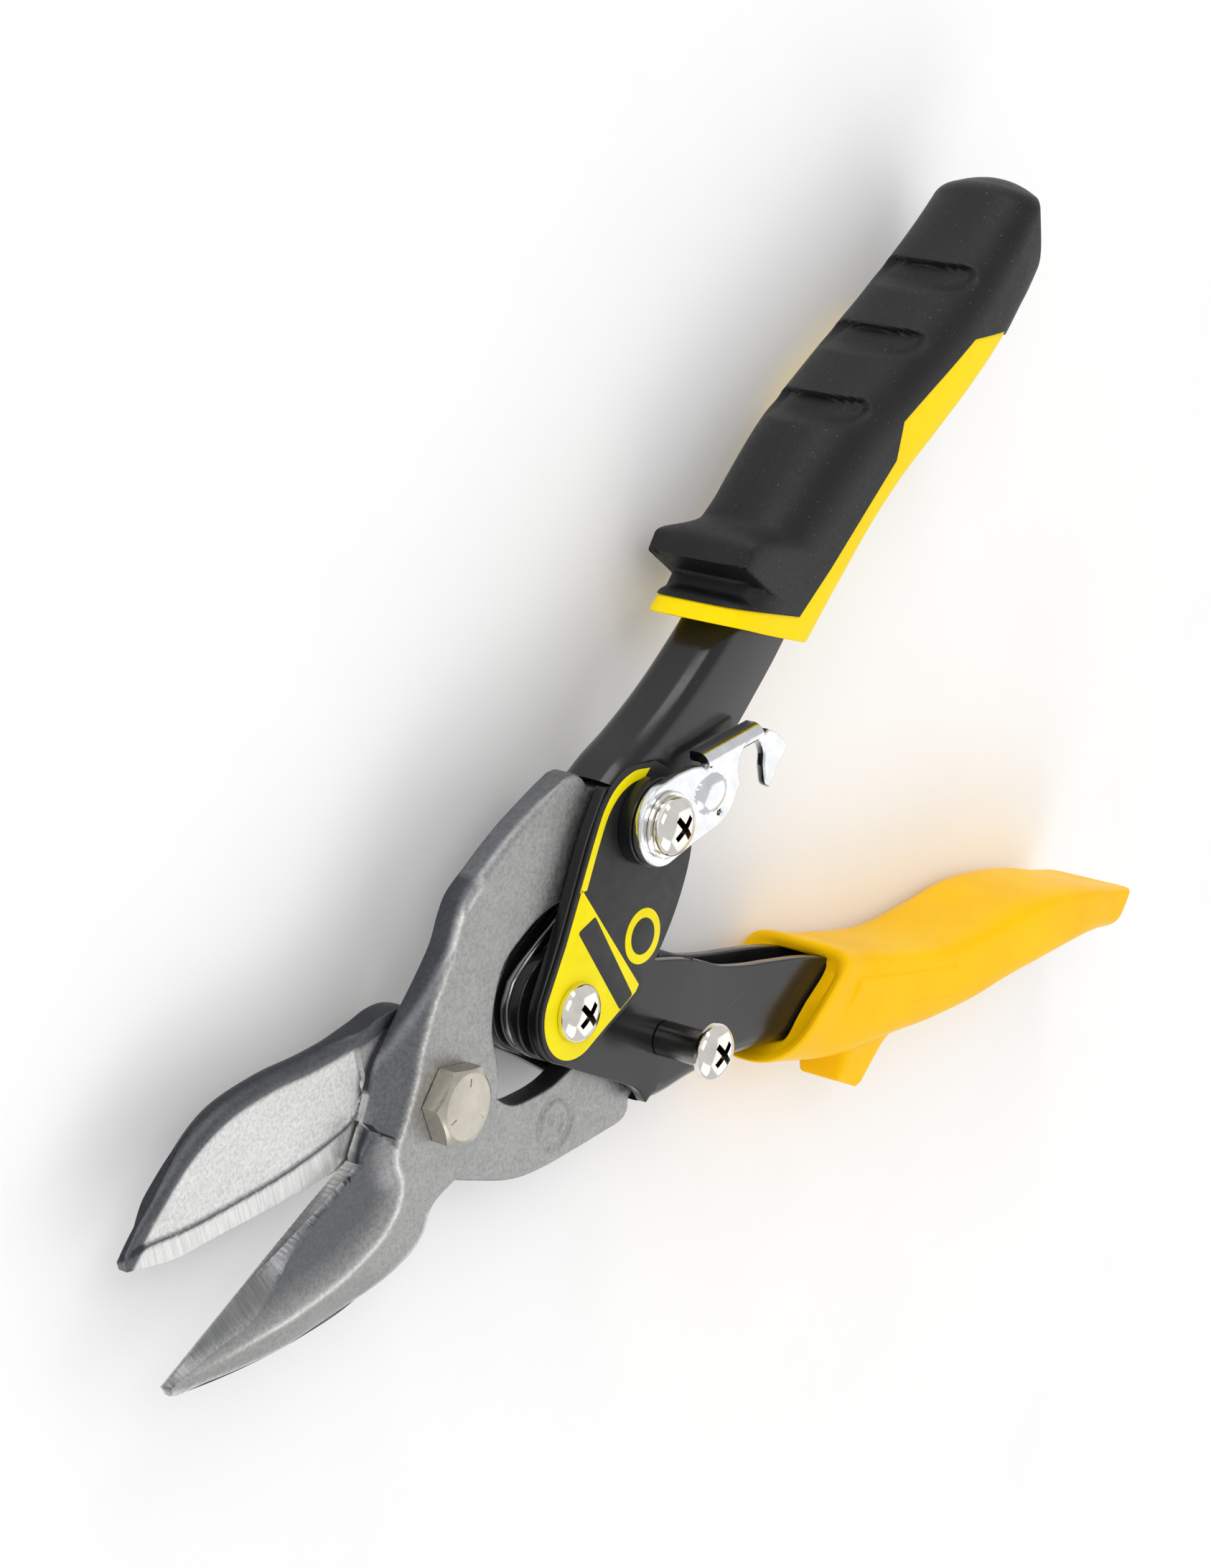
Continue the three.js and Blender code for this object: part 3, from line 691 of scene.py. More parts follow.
def ground_edge(x):
    """Height of the ground bevel at the cutting edge."""
    return 0.7 + 1.5 * smoothstep(x, -46, -24)


def grind(points, level):
    """The height with the bevel ground into it: from low at the cutting edge up to the blade's face."""
    to_edge = distance_to(points, edge_line)
    share = to_edge / (to_edge + distance_to(points, grind_line) + 1e-6)
    low = ground_edge(points[:, 0])
    return np.where(inside(points, ground_zone), low + (level - low) * share, level)


def ground_share(points):
    """1 on the ground bevel, 0 off it, with a narrow border between."""
    side = np.where(inside(points, ground_zone), 1, -1)
    return np.clip(0.5 + 2.5 * side * distance_to(points, grind_line), 0, 1)


def on_line(points, line):
    return distance_to(points, line) < 0.12


def front_top(points):
    """The front jaw's outer face: hub and tail flat, blade hollowed and ground, back and hub side sloping."""
    x = points[:, 0]
    to_crest = distance_to(points, crest)
    level = crest_height(x)
    face = inside(points, blade_face)
    level = np.where(face, level - 1.5 * smoothstep(to_crest, 0.2, 4.5) * smoothstep(-x, 11, 15), level)
    fall = (0.26 * to_crest + 0.035 * to_crest ** 2) * smoothstep(-x, 10, 32)
    level = np.where(inside(points, blade_back), np.maximum(level - fall, 0.9), level)
    level = np.where(on_line(points, edge_line) & (x < EDGE_ROOT_X), ground_edge(x), grind(points, level))
    side = inside(points, hub_side) & ~face
    level = np.where(side, level - 0.5 * np.minimum(distance_to(points, hub_ridge), 5) ** 1.1, level)
    stand = np.column_stack((points, np.ones(len(points)))) @ foot_plane
    return np.where(inside(points, foot), np.maximum(stand, level), level)


def rear_top(points):
    """The rear jaw's outer face is plain and full, thinning only towards the tip."""
    return crest_height(points[:, 0])


def ring_mark(points, radius, depth):
    """A shallow round groove in the tail."""
    away = np.abs(lengths(points - TAIL_MARK) - radius)
    return depth * (1 - smoothstep(away, 0.3 * MARK_WIDTH, MARK_WIDTH))


def shear_face(points):
    """The shear face's height: a flat land along the edge, a hollow behind it, and rings in the tail."""
    hollow = 0.4 * smoothstep(distance_to(points, land_line), 0, 0.5) * inside(points, hollow_zone)
    rings = ring_mark(points, 3.9, 0.35) + ring_mark(points, 1.4, 0.25)
    return SHEAR_GAP + hollow + rings


KEEN = (0.05, 0.06)  # rounding of the cutting edge, on the shear face and on the outer face


def jaw(edge, tail, corner, spine, top, rim, back_rim):
    """A jaw's solid. rim rounds the back edge of its shear face and back_rim that of its outer face."""
    outline = clean(np.vstack((edge, tail, corner, lobe, tail_inner, spine)))
    x, y = outline.T
    on_edge = (distance_to(outline, edge) < 0.35) & (x < EDGE_ROOT_X)
    on_spine = smoothstep(-x, 8, 16) * (distance_to(outline, spine) < 0.2)
    on_tail = smoothstep(y, 0, 6) * (1 - smoothstep(x, 30, 36)) * (distance_to(outline, tail) < 0.2)
    near_tip = 1 - 0.75 * smoothstep(-x, 54, 61)
    top_radius = np.where(on_edge, KEEN[1], (0.7 + (back_rim - 0.7) * on_spine + 0.9 * on_tail) * near_tip)
    bottom_radius = np.where(on_edge, KEEN[0], (0.4 + (rim - 0.4) * on_spine) * near_tip)
    creases = [crest, hub_ridge, land_line, land_line + (0, -0.45), grind_line, grind_line + (0, -0.3)]
    return relief(outline, shear_face, top, top_radius, bottom_radius, spacing=0.5, extra=creases,
                  holes=((BLADE_PIVOT, BOLT_TURN_HOLE_R), (UPPER_LINK, TURN_HOLE_R)))


# Painted light and shade on the forgings, from 0, dark, to 1, bright; the ground bevel's value is its own
# duller grey.
SKIN_TONE = 0.5
FACE_SHADE_TONE = 0.2
HUB_SIDE_SHADE_TONE = 0.27
BEVEL_TONE = 0.36
SHEAR_SHEEN_TONE = 0.9
REAR_SPINE_SHADE_TONE = 0.17
SHEAR_GROUND = 0.8


def jaw_finish(points, spine, front):
    """How ground each of a jaw's points is, and its painted light and shade."""
    flat, x, z = points[:, :2], points[:, 0], points[:, 2]
    under = (z < 0.62) & (x < -12)
    bevel = (front & ~under) * np.maximum(ground_share(flat), on_line(flat, edge_line))
    ground = np.where(under & ~inside(flat, hollow_zone), SHEAR_GROUND, bevel)
    to_ridge = np.minimum(distance_to(flat, crest), distance_to(flat, hub_ridge))
    # painted shade: the hollow blade face is darkened, less so near the ridges, and so is the hub's sloping
    # side
    blade_face_shade = FACE_SHADE_TONE + 0.3 * (1 - smoothstep(to_ridge, 0.5, 6))
    tone = np.where(front & inside(flat, hub_side), HUB_SIDE_SHADE_TONE, SKIN_TONE)
    tone = np.where(front & inside(flat, blade_face), blade_face_shade, tone)
    # painted highlight: a bright line along the crest and the hub's ridge, fading towards the tip
    tone = tone + 0.4 * front * np.exp(-(to_ridge / 0.45) ** 2) * (1 - smoothstep(-x, 40, 58))
    # the shear face is brightened, partly its ground finish and partly a painted sheen; the ground bevel gets
    # its own duller grey
    tone = np.where(under, SHEAR_SHEEN_TONE, tone + (BEVEL_TONE - tone) * bevel)
    to_spine = distance_to(flat, spine)
    if front:
        # painted highlight along the front blade's spine rounding
        tone = tone + 0.4 * (1 - smoothstep(to_spine, 0.3, 1.4)) * ~under * (x < -9)
    else:
        # painted shade: a dark band along the rear blade's spine
        rear_spine_shade = 1 - smoothstep(to_spine, 1.9, 2.8)
        tone = tone + (REAR_SPINE_SHADE_TONE - tone) * rear_spine_shade
        ground = ground * (1 - rear_spine_shade)
    # painted shade along the crease of the land line
    groove = under * np.exp(-(distance_to(flat, land_line) / 0.3) ** 2)
    return {"ground": ground, "tone": tone - 0.7 * groove}


front_jaw = jaw(front_edge, front_tail, front_corner, front_spine, front_top, 0.5, 0.8)
rear_jaw = jaw(rear_edge, rear_tail, rear_corner, rear_spine, rear_top, 2.1, 1.5)
front_finish = jaw_finish(front_jaw.points, front_spine, True)
rear_finish = jaw_finish(rear_jaw.points, rear_spine, False)
piece("front_jaw_forging", front_jaw, "front_jaw", steel, "front_jaw", front_finish)
piece("rear_jaw_forging", rear_jaw.twin(), "rear_jaw", steel, "rear_jaw", rear_finish)


# ---------- fasteners ----------

SCREW_HEAD_R = 4.6
SCREW_RIM = 0.7
SCREW_DOME = 2.1
RECESS_REACH = 2.4
RECESS_HALF = 0.55
RECESS_TURN = math.radians(24)
NUT_HEX = 7.6
BOLT_HEX = 11.1
BOLT_R = 3.9
BOLT_HOLE_R = 3.95  # of its nut and washer
BOLT_TURN = 36.0
BOLT_TOP = JAW_THICK + 3.7


def screw_recess(centre, top):
    """The cross that is cut into a screw's head, tapered, from above its top."""
    reach, half = RECESS_REACH, RECESS_HALF
    arm = np.array([(reach, -half), (reach, half), (half, half)])
    cross = []
    for _ in range(4):
        cross += [arm]
        arm = arm @ np.array(((0, 1), (-1, 0)))
    cosine, sine = math.cos(RECESS_TURN), math.sin(RECESS_TURN)
    cross = np.vstack(cross) @ np.array(((cosine, sine), (-sine, cosine)))
    return loft([np.column_stack((centre + cross * size, np.full(len(cross), top + drop)))
                 for size, drop in ((0.5, -2.4), (0.93, -0.9), (1.0, 0))])


def dome_screw(centre, under_head, shank_end):
    """A domed screw with a cross recess, and which of its points are in the recess, where shade is painted.
    """
    dome_start = under_head + SCREW_RIM
    profile = [
        (0, shank_end), (SCREW_R - 0.3, shank_end), (SCREW_R, shank_end + 0.3), (SCREW_R, under_head),
        (SCREW_HEAD_R - 0.25, under_head), (SCREW_HEAD_R, under_head + 0.2),
        (SCREW_HEAD_R, dome_start - 0.15)]
    for angle in np.linspace(0.08, math.pi / 2, 14)[:-1]:
        profile.append((SCREW_HEAD_R * math.cos(angle), dome_start + SCREW_DOME * math.sin(angle)))
    profile.append((0, dome_start + SCREW_DOME))
    recess = screw_recess(centre, dome_start + SCREW_DOME + 0.4)
    solid = combine(revolve(centre, profile), recess, "DIFFERENCE")
    away, z = lengths(solid.points[:, :2] - centre), solid.points[:, 2]
    dome = dome_start + SCREW_DOME * np.sqrt(np.clip(1 - (away / SCREW_HEAD_R) ** 2, 0, 1))
    deep = (z > under_head) & (away < RECESS_REACH + 0.3) & (z < dome - 0.12)
    return solid, deep.astype(float)


def hex_nut(centre, across, bottom, top, bore, turn):
    """A nut with chamfered faces."""
    nut = hex_prism(centre, across, turn, bottom, top, 1.5, ((centre, bore),))
    corner, flat = across / math.sqrt(3) + 0.3, across / 2 - 0.1
    chamfer = 0.56 * (corner - flat)
    cone = revolve(centre, [
        (0, bottom - 0.01), (flat, bottom - 0.01), (corner, bottom + chamfer), (corner, top - chamfer),
        (flat, top + 0.01), (0, top + 0.01)])
    return combine(nut, cone, "INTERSECT")


def washer(centre, outer, bore, bottom, top):
    ease = min(0.15, (top - bottom) / 3)
    return tube_ring(centre, [
        (bore, bottom), (outer - ease, bottom), (outer, bottom + ease), (outer, top - ease),
        (outer - ease, top), (bore, top)])


def hex_bolt():
    """The main pivot bolt: chamfered hexagon, face with three short radial strokes, and shank."""
    cone = revolve(BLADE_PIVOT, [
        (0, JAW_THICK), (6.1, JAW_THICK), (7, JAW_THICK + 0.4), (7, BOLT_TOP - 1.15), (5.2, BOLT_TOP - 0.12),
        (4.9, BOLT_TOP + 0.01), (0, BOLT_TOP + 0.01)])
    head = hex_prism(BLADE_PIVOT, BOLT_HEX, BOLT_TURN, JAW_THICK + 0.05, BOLT_TOP, 1.0)
    head = combine(head, cone, "INTERSECT")
    for angle in np.radians((BOLT_TURN + 30, BOLT_TURN + 150, BOLT_TURN + 270)):
        out = np.array((math.cos(angle), math.sin(angle)))
        side = np.array((-out[1], out[0])) * 0.16
        stroke = np.array((out * 3 - side, out * 4.3 - side, out * 4.3 + side, out * 3 + side))
        head = combine(head, relief(stroke, BOLT_TOP - 0.12, BOLT_TOP + 0.5, 0.02), "DIFFERENCE")
    shank = revolve(BLADE_PIVOT, [
        (0, -MID), (BOLT_R - 0.4, -MID), (BOLT_R, -MID + 0.5), (BOLT_R, JAW_THICK + 1), (0, JAW_THICK + 1)])
    return combine(head, shank, "UNION")


# Each screw's axis, underside of the head, end of the shank, and body.
SCREWS = {
    "handle_screw": (HANDLE_PIVOT, LABEL_TOP + 0.05, -11.0, "upper_handle"),
    "link_screw": (UPPER_LINK, LATCH_TOP + 0.7, -7.4, "upper_handle"),
    "post_screw": (LOWER_LINK, 12.45, -11.0, "lower_handle"),
}
for name, (centre, under_head, end, body) in SCREWS.items():
    screw, recess = dome_screw(centre, under_head, end)
    piece(name + "_turned", screw, body, nickel, name, {"recess": recess})

# Each nut's axis, bottom, top, turn in degrees, and body.
NUTS = {
    "handle_nut": (HANDLE_PIVOT, -10.45, -7.05, 11.5, "upper_handle"),
    "link_nut": (UPPER_LINK, -6.85, -3.45, 23.0, "upper_handle"),
    "post_nut": (LOWER_LINK, -10.45, -7.05, 5.7, "lower_handle"),
}
for name, (centre, bottom, top, turn, body) in NUTS.items():
    piece(name + "_pressed", hex_nut(centre, NUT_HEX, bottom, top, HOLE_R, turn), body, bolt_plating, name)

pivot_nut = hex_nut(BLADE_PIVOT, BOLT_HEX, -11.85, -5.5, BOLT_HOLE_R, BOLT_TURN)
piece("pivot_bolt_forged", hex_bolt(), "front_jaw", bolt_plating, "pivot_bolt")
piece("pivot_nut_pressed", pivot_nut, "front_jaw", bolt_plating, "pivot_nut")

# Each washer's axis, radius, bore, bottom, top, body and finish.
WASHERS = {
    "pivot_washer": (BLADE_PIVOT, 7.5, BOLT_HOLE_R, -5.45, -4.45, "front_jaw", bright_turned),
    "latch_washer": (UPPER_LINK, 5.2, HOLE_R, LATCH_TOP + 0.05, LATCH_TOP + 0.65, "upper_handle", nickel),
    "latch_spacer": (UPPER_LINK, 6.9, HOLE_R, LABEL_TOP + 0.05, LATCH_BOTTOM - 0.05, "upper_handle",
                     coated_spacer),
    "pivot_spacer_front": (HANDLE_PIVOT, 6, HOLE_R, 3.45, 4.95, "upper_handle", dark_steel),
    "pivot_spacer_rear": (HANDLE_PIVOT, 6, HOLE_R, -4.95, -3.45, "upper_handle", dark_steel),
    "link_spacer": (UPPER_LINK, 6, HOLE_R, -1.35, 0.05, "upper_handle", bright_turned),
    "post_spacer": (LOWER_LINK, 6, HOLE_R, -0.05, 1.35, "lower_handle", bright_turned),
    "post_sleeve": (LOWER_LINK, 2.85, HOLE_R, 3.45, 12.4, "lower_handle", dark_steel),
}
for name, (centre, outer, bore, bottom, top, body, finish) in WASHERS.items():
    piece(name + "_turned", washer(centre, outer, bore, bottom, top), body, finish, name)


# ---------- handles ----------

NOSE_R = 8.4
BACK_RADIUS = 3.6  # of the channel's bends, outside
LIP = 0.35  # rounding of the stamped edge
BACK_U = np.linspace(33, 112, 80)
back_outer = spline([
    (33, 10.6), (37, 8.6), (42, 5.5), (49, 1.9), (56, -1), (66, -4.4), (80, -8.6), (96, -15.2),
    (112, -24)], 1.0)
back_inner = spline([
    (33, -13.2), (37, -13.4), (42, -13.6), (49, -15), (56, -16.9), (66, -19.4), (80, -21.6), (96, -25.6),
    (112, -32.6)], 1.0)


def back_section(u):
    """The channel's section at u, as [v, height] points: a C open on the inner side."""
    outer, inner = np.interp(u, *back_outer.T), np.interp(u, *back_inner.T)
    bend = outer - BACK_RADIUS
    upper, lower = CHANNEL_TOP - BACK_RADIUS, CHANNEL_BOTTOM + BACK_RADIUS
    small = BACK_RADIUS - WALL
    return np.vstack((
        arc((inner + LIP, CHANNEL_TOP - LIP), LIP, 180, 90, 3),
        arc((bend, upper), BACK_RADIUS, 90, 0, 10),
        arc((bend, lower), BACK_RADIUS, 0, -90, 10),
        arc((inner + LIP, CHANNEL_BOTTOM + LIP), LIP, 270, 180, 3),
        arc((inner + LIP, CHANNEL_BOTTOM + WALL - LIP), LIP, 180, 90, 3),
        arc((bend, lower), small, -90, 0, 5),
        arc((bend, upper), small, 0, 90, 5),
        arc((inner + LIP, CHANNEL_TOP - WALL + LIP), LIP, 270, 180, 3),
    ))


def channel_back():
    rings = []
    for u in BACK_U:
        section = back_section(u)
        flat = on_handle(np.column_stack((np.full(len(section), u), section[:, 0])))
        rings.append(np.column_stack((flat, section[:, 1]))[::-1])
    return loft(rings)


def channel():
    """The stamped channel: a folded back behind two flat walls, the wide one on top."""
    wide_outline = np.vstack((
        arc((0, 0), NOSE_R, 232, 98),
        spline([(2, 8.6), (8, 9.1), (16, 10.2), (24, 11.3), (32, 11.4)]),
        [(34, 6), (36, -8)],
        spline([(35, -13.35), (31, -14.4), (24, -16), (16, -15.9), (7.4, -14.2), (0.2, -9.8)])))
    narrow_outline = np.vstack((
        arc((0, 0), NOSE_R, 262, 90),
        spline([(8, 8.4), (16, 8.5), (27, 8.7), (31.5, 10.4)]),
        [(34, 6), (36, -8)],
        spline([(35, -13.3), (30, -12.6), (21.7, -10.9), (8, -8.9)])))
    holes = ((HANDLE_PIVOT, TURN_HOLE_R), (UPPER_LINK, HOLE_R))
    wide = relief(on_handle(wide_outline), CHANNEL_TOP - WALL, CHANNEL_TOP, LIP, holes=holes)
    narrow = relief(on_handle(narrow_outline), CHANNEL_BOTTOM, CHANNEL_BOTTOM + WALL, LIP, holes=holes)
    return combine(combine(channel_back(), wide, "UNION"), narrow, "UNION")


channel_solid = channel()
piece("upper_channel_stamping", channel_solid, "upper_handle", coating, "upper_channel")
piece("lower_channel_stamping", channel_solid.twin(), "lower_handle", coating, "lower_channel")


# ---------- label ----------

PRINT = 0.05  # how far each print stands above what it lies on
PRINT_DEPTH = 0.1  # and how far it reaches into the label
MARGIN = 0.7  # from the label's nose to the yellow field
DISC = (15.2, -9.8)
LABEL_HOLES = ((HANDLE_PIVOT, HOLE_R), (UPPER_LINK, HOLE_R))


def label_outline():
    outer = spline([
        (2, 8.4), (8, 8.8), (16, 9.9), (24, 11), (29, 11.3), (33.5, 10.2), (37, 7.4), (39.6, 2.5)])
    inner = spline([
        (39.7, -1.5), (38.2, -6.5), (35.4, -10.8), (31, -14.2), (24, -15.7), (16, -15.6), (7.4, -13.9),
        (0.2, -9.6)])
    return np.vstack((arc((0, 0), NOSE_R - 0.2, 232, 98), outer, inner))


def yellow_field():
    nose = arc((0, 0), NOSE_R - 0.2 - MARGIN, 236, 98)
    corners = [(8, 8), (16.6, 9.1), (8.4, -13.2), (7.2, -13.1)]
    return np.vstack((nose, corners, spline([(6, -12.4), (0.4, -8.9)])))


def yellow_stripe():
    outer = spline([(16, 9.3), (24, 10.3), (29, 10.6), (33, 9.6), (36.3, 7), (38.2, 3.4)], 0.5)
    inner = spline([(36.4, 3.9), (34.6, 6.4), (32, 8.3), (28.6, 9.2), (24, 8.9), (16.9, 7.9)], 0.5)
    return np.vstack((outer, inner))


panel_outline = rounded([(10.6, 6.3), (14.1, 3.6), (6.5, -12.5), (3.5, -10.7)], 0.5)
label_base = relief(on_handle(label_outline()), LABEL_BOTTOM, LABEL_TOP, 0.15, holes=LABEL_HOLES)
piece("label_base", label_base, "upper_handle", film, "label_plate")
PRINTS = (
    ("label_field", yellow_field(), PRINT, print_yellow, LABEL_HOLES[:1]),
    ("label_stripe", yellow_stripe(), PRINT, print_yellow, ()),
    ("label_panel", panel_outline, 2 * PRINT, film, ()),
    ("label_disc", circle(DISC, 4.4), PRINT, print_yellow, ()),
    ("label_disc_core", circle(DISC, 2.9), 2 * PRINT, film, ()),
)
for name, outline, rise, finish, holes in PRINTS:
    print_solid = relief(on_handle(outline), LABEL_TOP - PRINT_DEPTH, LABEL_TOP + rise, 0.02, holes=holes)
    piece(name, print_solid, "upper_handle", finish)


# ---------- latch ----------

# The plate's outline is given from the link pivot. Its outer edge, between two bend points, is folded down.
LATCH_THICK = LATCH_TOP - LATCH_BOTTOM
LATCH_HOLES = ((UPPER_LINK, TURN_HOLE_R), (UPPER_LINK + (12.6, -5.1), 0.55))
SLOT_CENTRE = np.array((22.17, -1.5))
SLOT_R = 3.35
BEND_R = 2.0
BEND_DROP = 3.7
BEND_TUCK = 0.6  # how far the folded edge reaches back into the plate
bend_start, bend_end = np.array((12.4, 5.3)), np.array((26.6, 2.9))
bend_along = (bend_end - bend_start) / np.linalg.norm(bend_end - bend_start)
bend_out = np.array((-bend_along[1], bend_along[0]))
dome_centre = np.array((11.2, -0.9))
DOME_HALF_LENGTH = 3.9
DOME_HALF_WIDTH = 3.0
DOME_RISE = 1.25


def latch_dome(points):
    """The plate's top, with a long pressed dome across it."""
    from_dome = points - UPPER_LINK - dome_centre
    along = from_dome @ bend_along / DOME_HALF_LENGTH
    across = from_dome @ bend_out / DOME_HALF_WIDTH
    away = np.sqrt(along ** 2 + across ** 2)
    return LATCH_TOP + DOME_RISE * np.sqrt(np.clip(1 - away ** 2.6, 0, 1)) ** 1.2


def latch_plate():
    tuck = bend_out * (BEND_R - 0.3)
    outline = np.vstack((
        arc((0, 0), 6.6, 76, 262, 30),
        spline([(5, -6.6), (12.5, -7), (15.4, -6.2), (17.2, -4.6), (18.7, -3.4)], 0.5),
        arc(SLOT_CENTRE, SLOT_R, 180, -12, 24),
        spline([(24.9, -3.6), (24.7, -6.7), (25.4, -7.8)], 0.4),
        spline([(25.4, -7.8), (28.4, -5.6), (31, -3.9), (31.1, -2.6), (29, 0.2), (27.6, 1.4)], 0.5),
        [bend_end - tuck, bend_start - tuck, bend_start - tuck * 1.2 - bend_along * 1.0],
        spline([(10.6, 4.2), (8.4, 5.2), (4.8, 6.1)], 0.6)))
    return relief(outline + UPPER_LINK, LATCH_BOTTOM, latch_dome, 0.35, holes=LATCH_HOLES, spacing=0.4)


def folded_edge():
    low = LATCH_TOP - BEND_DROP
    centre = (-BEND_R, LATCH_TOP - BEND_R)
    section = np.vstack((
        [(-BEND_R - BEND_TUCK, LATCH_TOP)], arc(centre, BEND_R, 90, 0, 10), [(0, low + 0.3), (-0.25, low)],
        [(0.25 - LATCH_THICK, low), (-LATCH_THICK, low + 0.3)], arc(centre, BEND_R - LATCH_THICK, 0, 90, 5),
        [(-BEND_R - BEND_TUCK, LATCH_BOTTOM)]))
    rings = []
    for share in np.linspace(0, 1, 12):
        flat = UPPER_LINK + bend_start + (bend_end - bend_start) * share + section[:, :1] * bend_out
        rings.append(np.column_stack((flat, section[:, 1])))
    return loft(rings)


piece("latch_stamping", combine(latch_plate(), folded_edge(), "UNION"), "latch", chrome, "latch")


# ---------- return spring ----------

SPRING_WIRE_R = 1.1
SPRING_COIL_R = 6.9
WIRE_STEPS = 16
WIRE_END = ((1.0, 0.25), (0.8, 0.75))  # how far past the path's end, and how wide there, in wire radii


def sweep(path, radius):
    """A wire of round section along a path in the shear plane, with rounded ends."""
    along = np.gradient(path, axis=0)
    along /= lengths(along)[:, None]
    side = np.stack((-along[:, 1], along[:, 0]), 1)
    angle = np.linspace(0, 2 * math.pi, WIRE_STEPS, endpoint=False)
    places = [(0, -past, width) for past, width in WIRE_END] + [(i, 0, 1) for i in range(len(path))]
    places += [(len(path) - 1, past, width) for past, width in WIRE_END[::-1]]
    rings = []
    for index, past, width in places:
        centre = path[index] + along[index] * past * radius
        flat = centre + side[index] * (radius * width * np.cos(angle))[:, None]
        rings.append(np.column_stack((flat, radius * width * np.sin(angle))))
    return loft(rings)


def return_spring():
    leg = spline(on_handle([(15, 0.4), (11.5, 2), (7.8, 4), (3.8, 5.9), (0.6, SPRING_COIL_R)]), 0.8)
    coil = arc(HANDLE_PIVOT, SPRING_COIL_R, 150, 210, 14)
    path = np.vstack((leg, coil, leg[::-1] * (1, -1)))
    obj = piece("return_spring_wire", sweep(path, SPRING_WIRE_R), None, dark_steel, "return_spring")
    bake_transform(obj)


return_spring()


# ---------- grips ----------

# Across the handle's frame: u, v of the middle, half height along v, half thickness.
UPPER_SECTIONS = spline([
    (58, -9.6, 11.6, 9.1), (66, -11.7, 12.1, 9.4), (72, -12.8, 12.1, 9.6), (80, -14.4, 11.8, 9.9),
    (90, -16.9, 11.5, 10.3), (100, -20.3, 11.4, 10.7), (110, -25.2, 11.1, 11), (120, -30.2, 10.5, 11.3),
    (130, -34.8, 9.7, 11.2), (140, -38.1, 8.7, 10.6), (150, -40.4, 7.7, 10), (160, -42.4, 7, 9.4)], 0.5)
LOWER_SECTIONS = spline([
    (58, -10, 10.8, 9.2), (66, -11.2, 10.8, 9.4), (80, -13.8, 10, 9.8), (95, -18.7, 8.3, 10.2),
    (104, -22.2, 8, 10.5), (114.5, -27.5, 8.2, 10.8), (122.7, -32.3, 8.1, 11), (130.7, -36.2, 7.5, 11.1),
    (142, -40.8, 6, 10.8), (153, -44, 4.6, 10), (162, -46.3, 4.2, 9.6)], 0.5)
UPPER_MOUTH = 66.0
LOWER_MOUTH = 66.6
AROUND = 144
CAVITY_END = 112.4
RING_SPACING = 0.34
MOUTH_BLEND = 18  # how far the mouth's slant reaches along the grip
END_BLEND = 24  # and the end's
END_TURN = 1.0  # how far the rounding of a grip's end turns before it runs into the end's dome
END_SIZES = (0.93, 0.82, 0.68, 0.5, 0.3, 0.04)  # of the rings on that dome


def squircle(angle, inner_power, outer_power):
    """(across, up) round a section that is boxier on its inner side; across is 1 on the outer side."""
    c, s = np.cos(angle), np.sin(angle)
    power = np.where(c < 0, inner_power, outer_power)
    return np.sign(c) * np.abs(c) ** (2 / power), np.sign(s) * np.abs(s) ** (2 / power)


def section_at(sections, u):
    """The middle, half height and half thickness at u."""
    return [np.interp(u, sections[:, 0], sections[:, i]) for i in (1, 2, 3)]


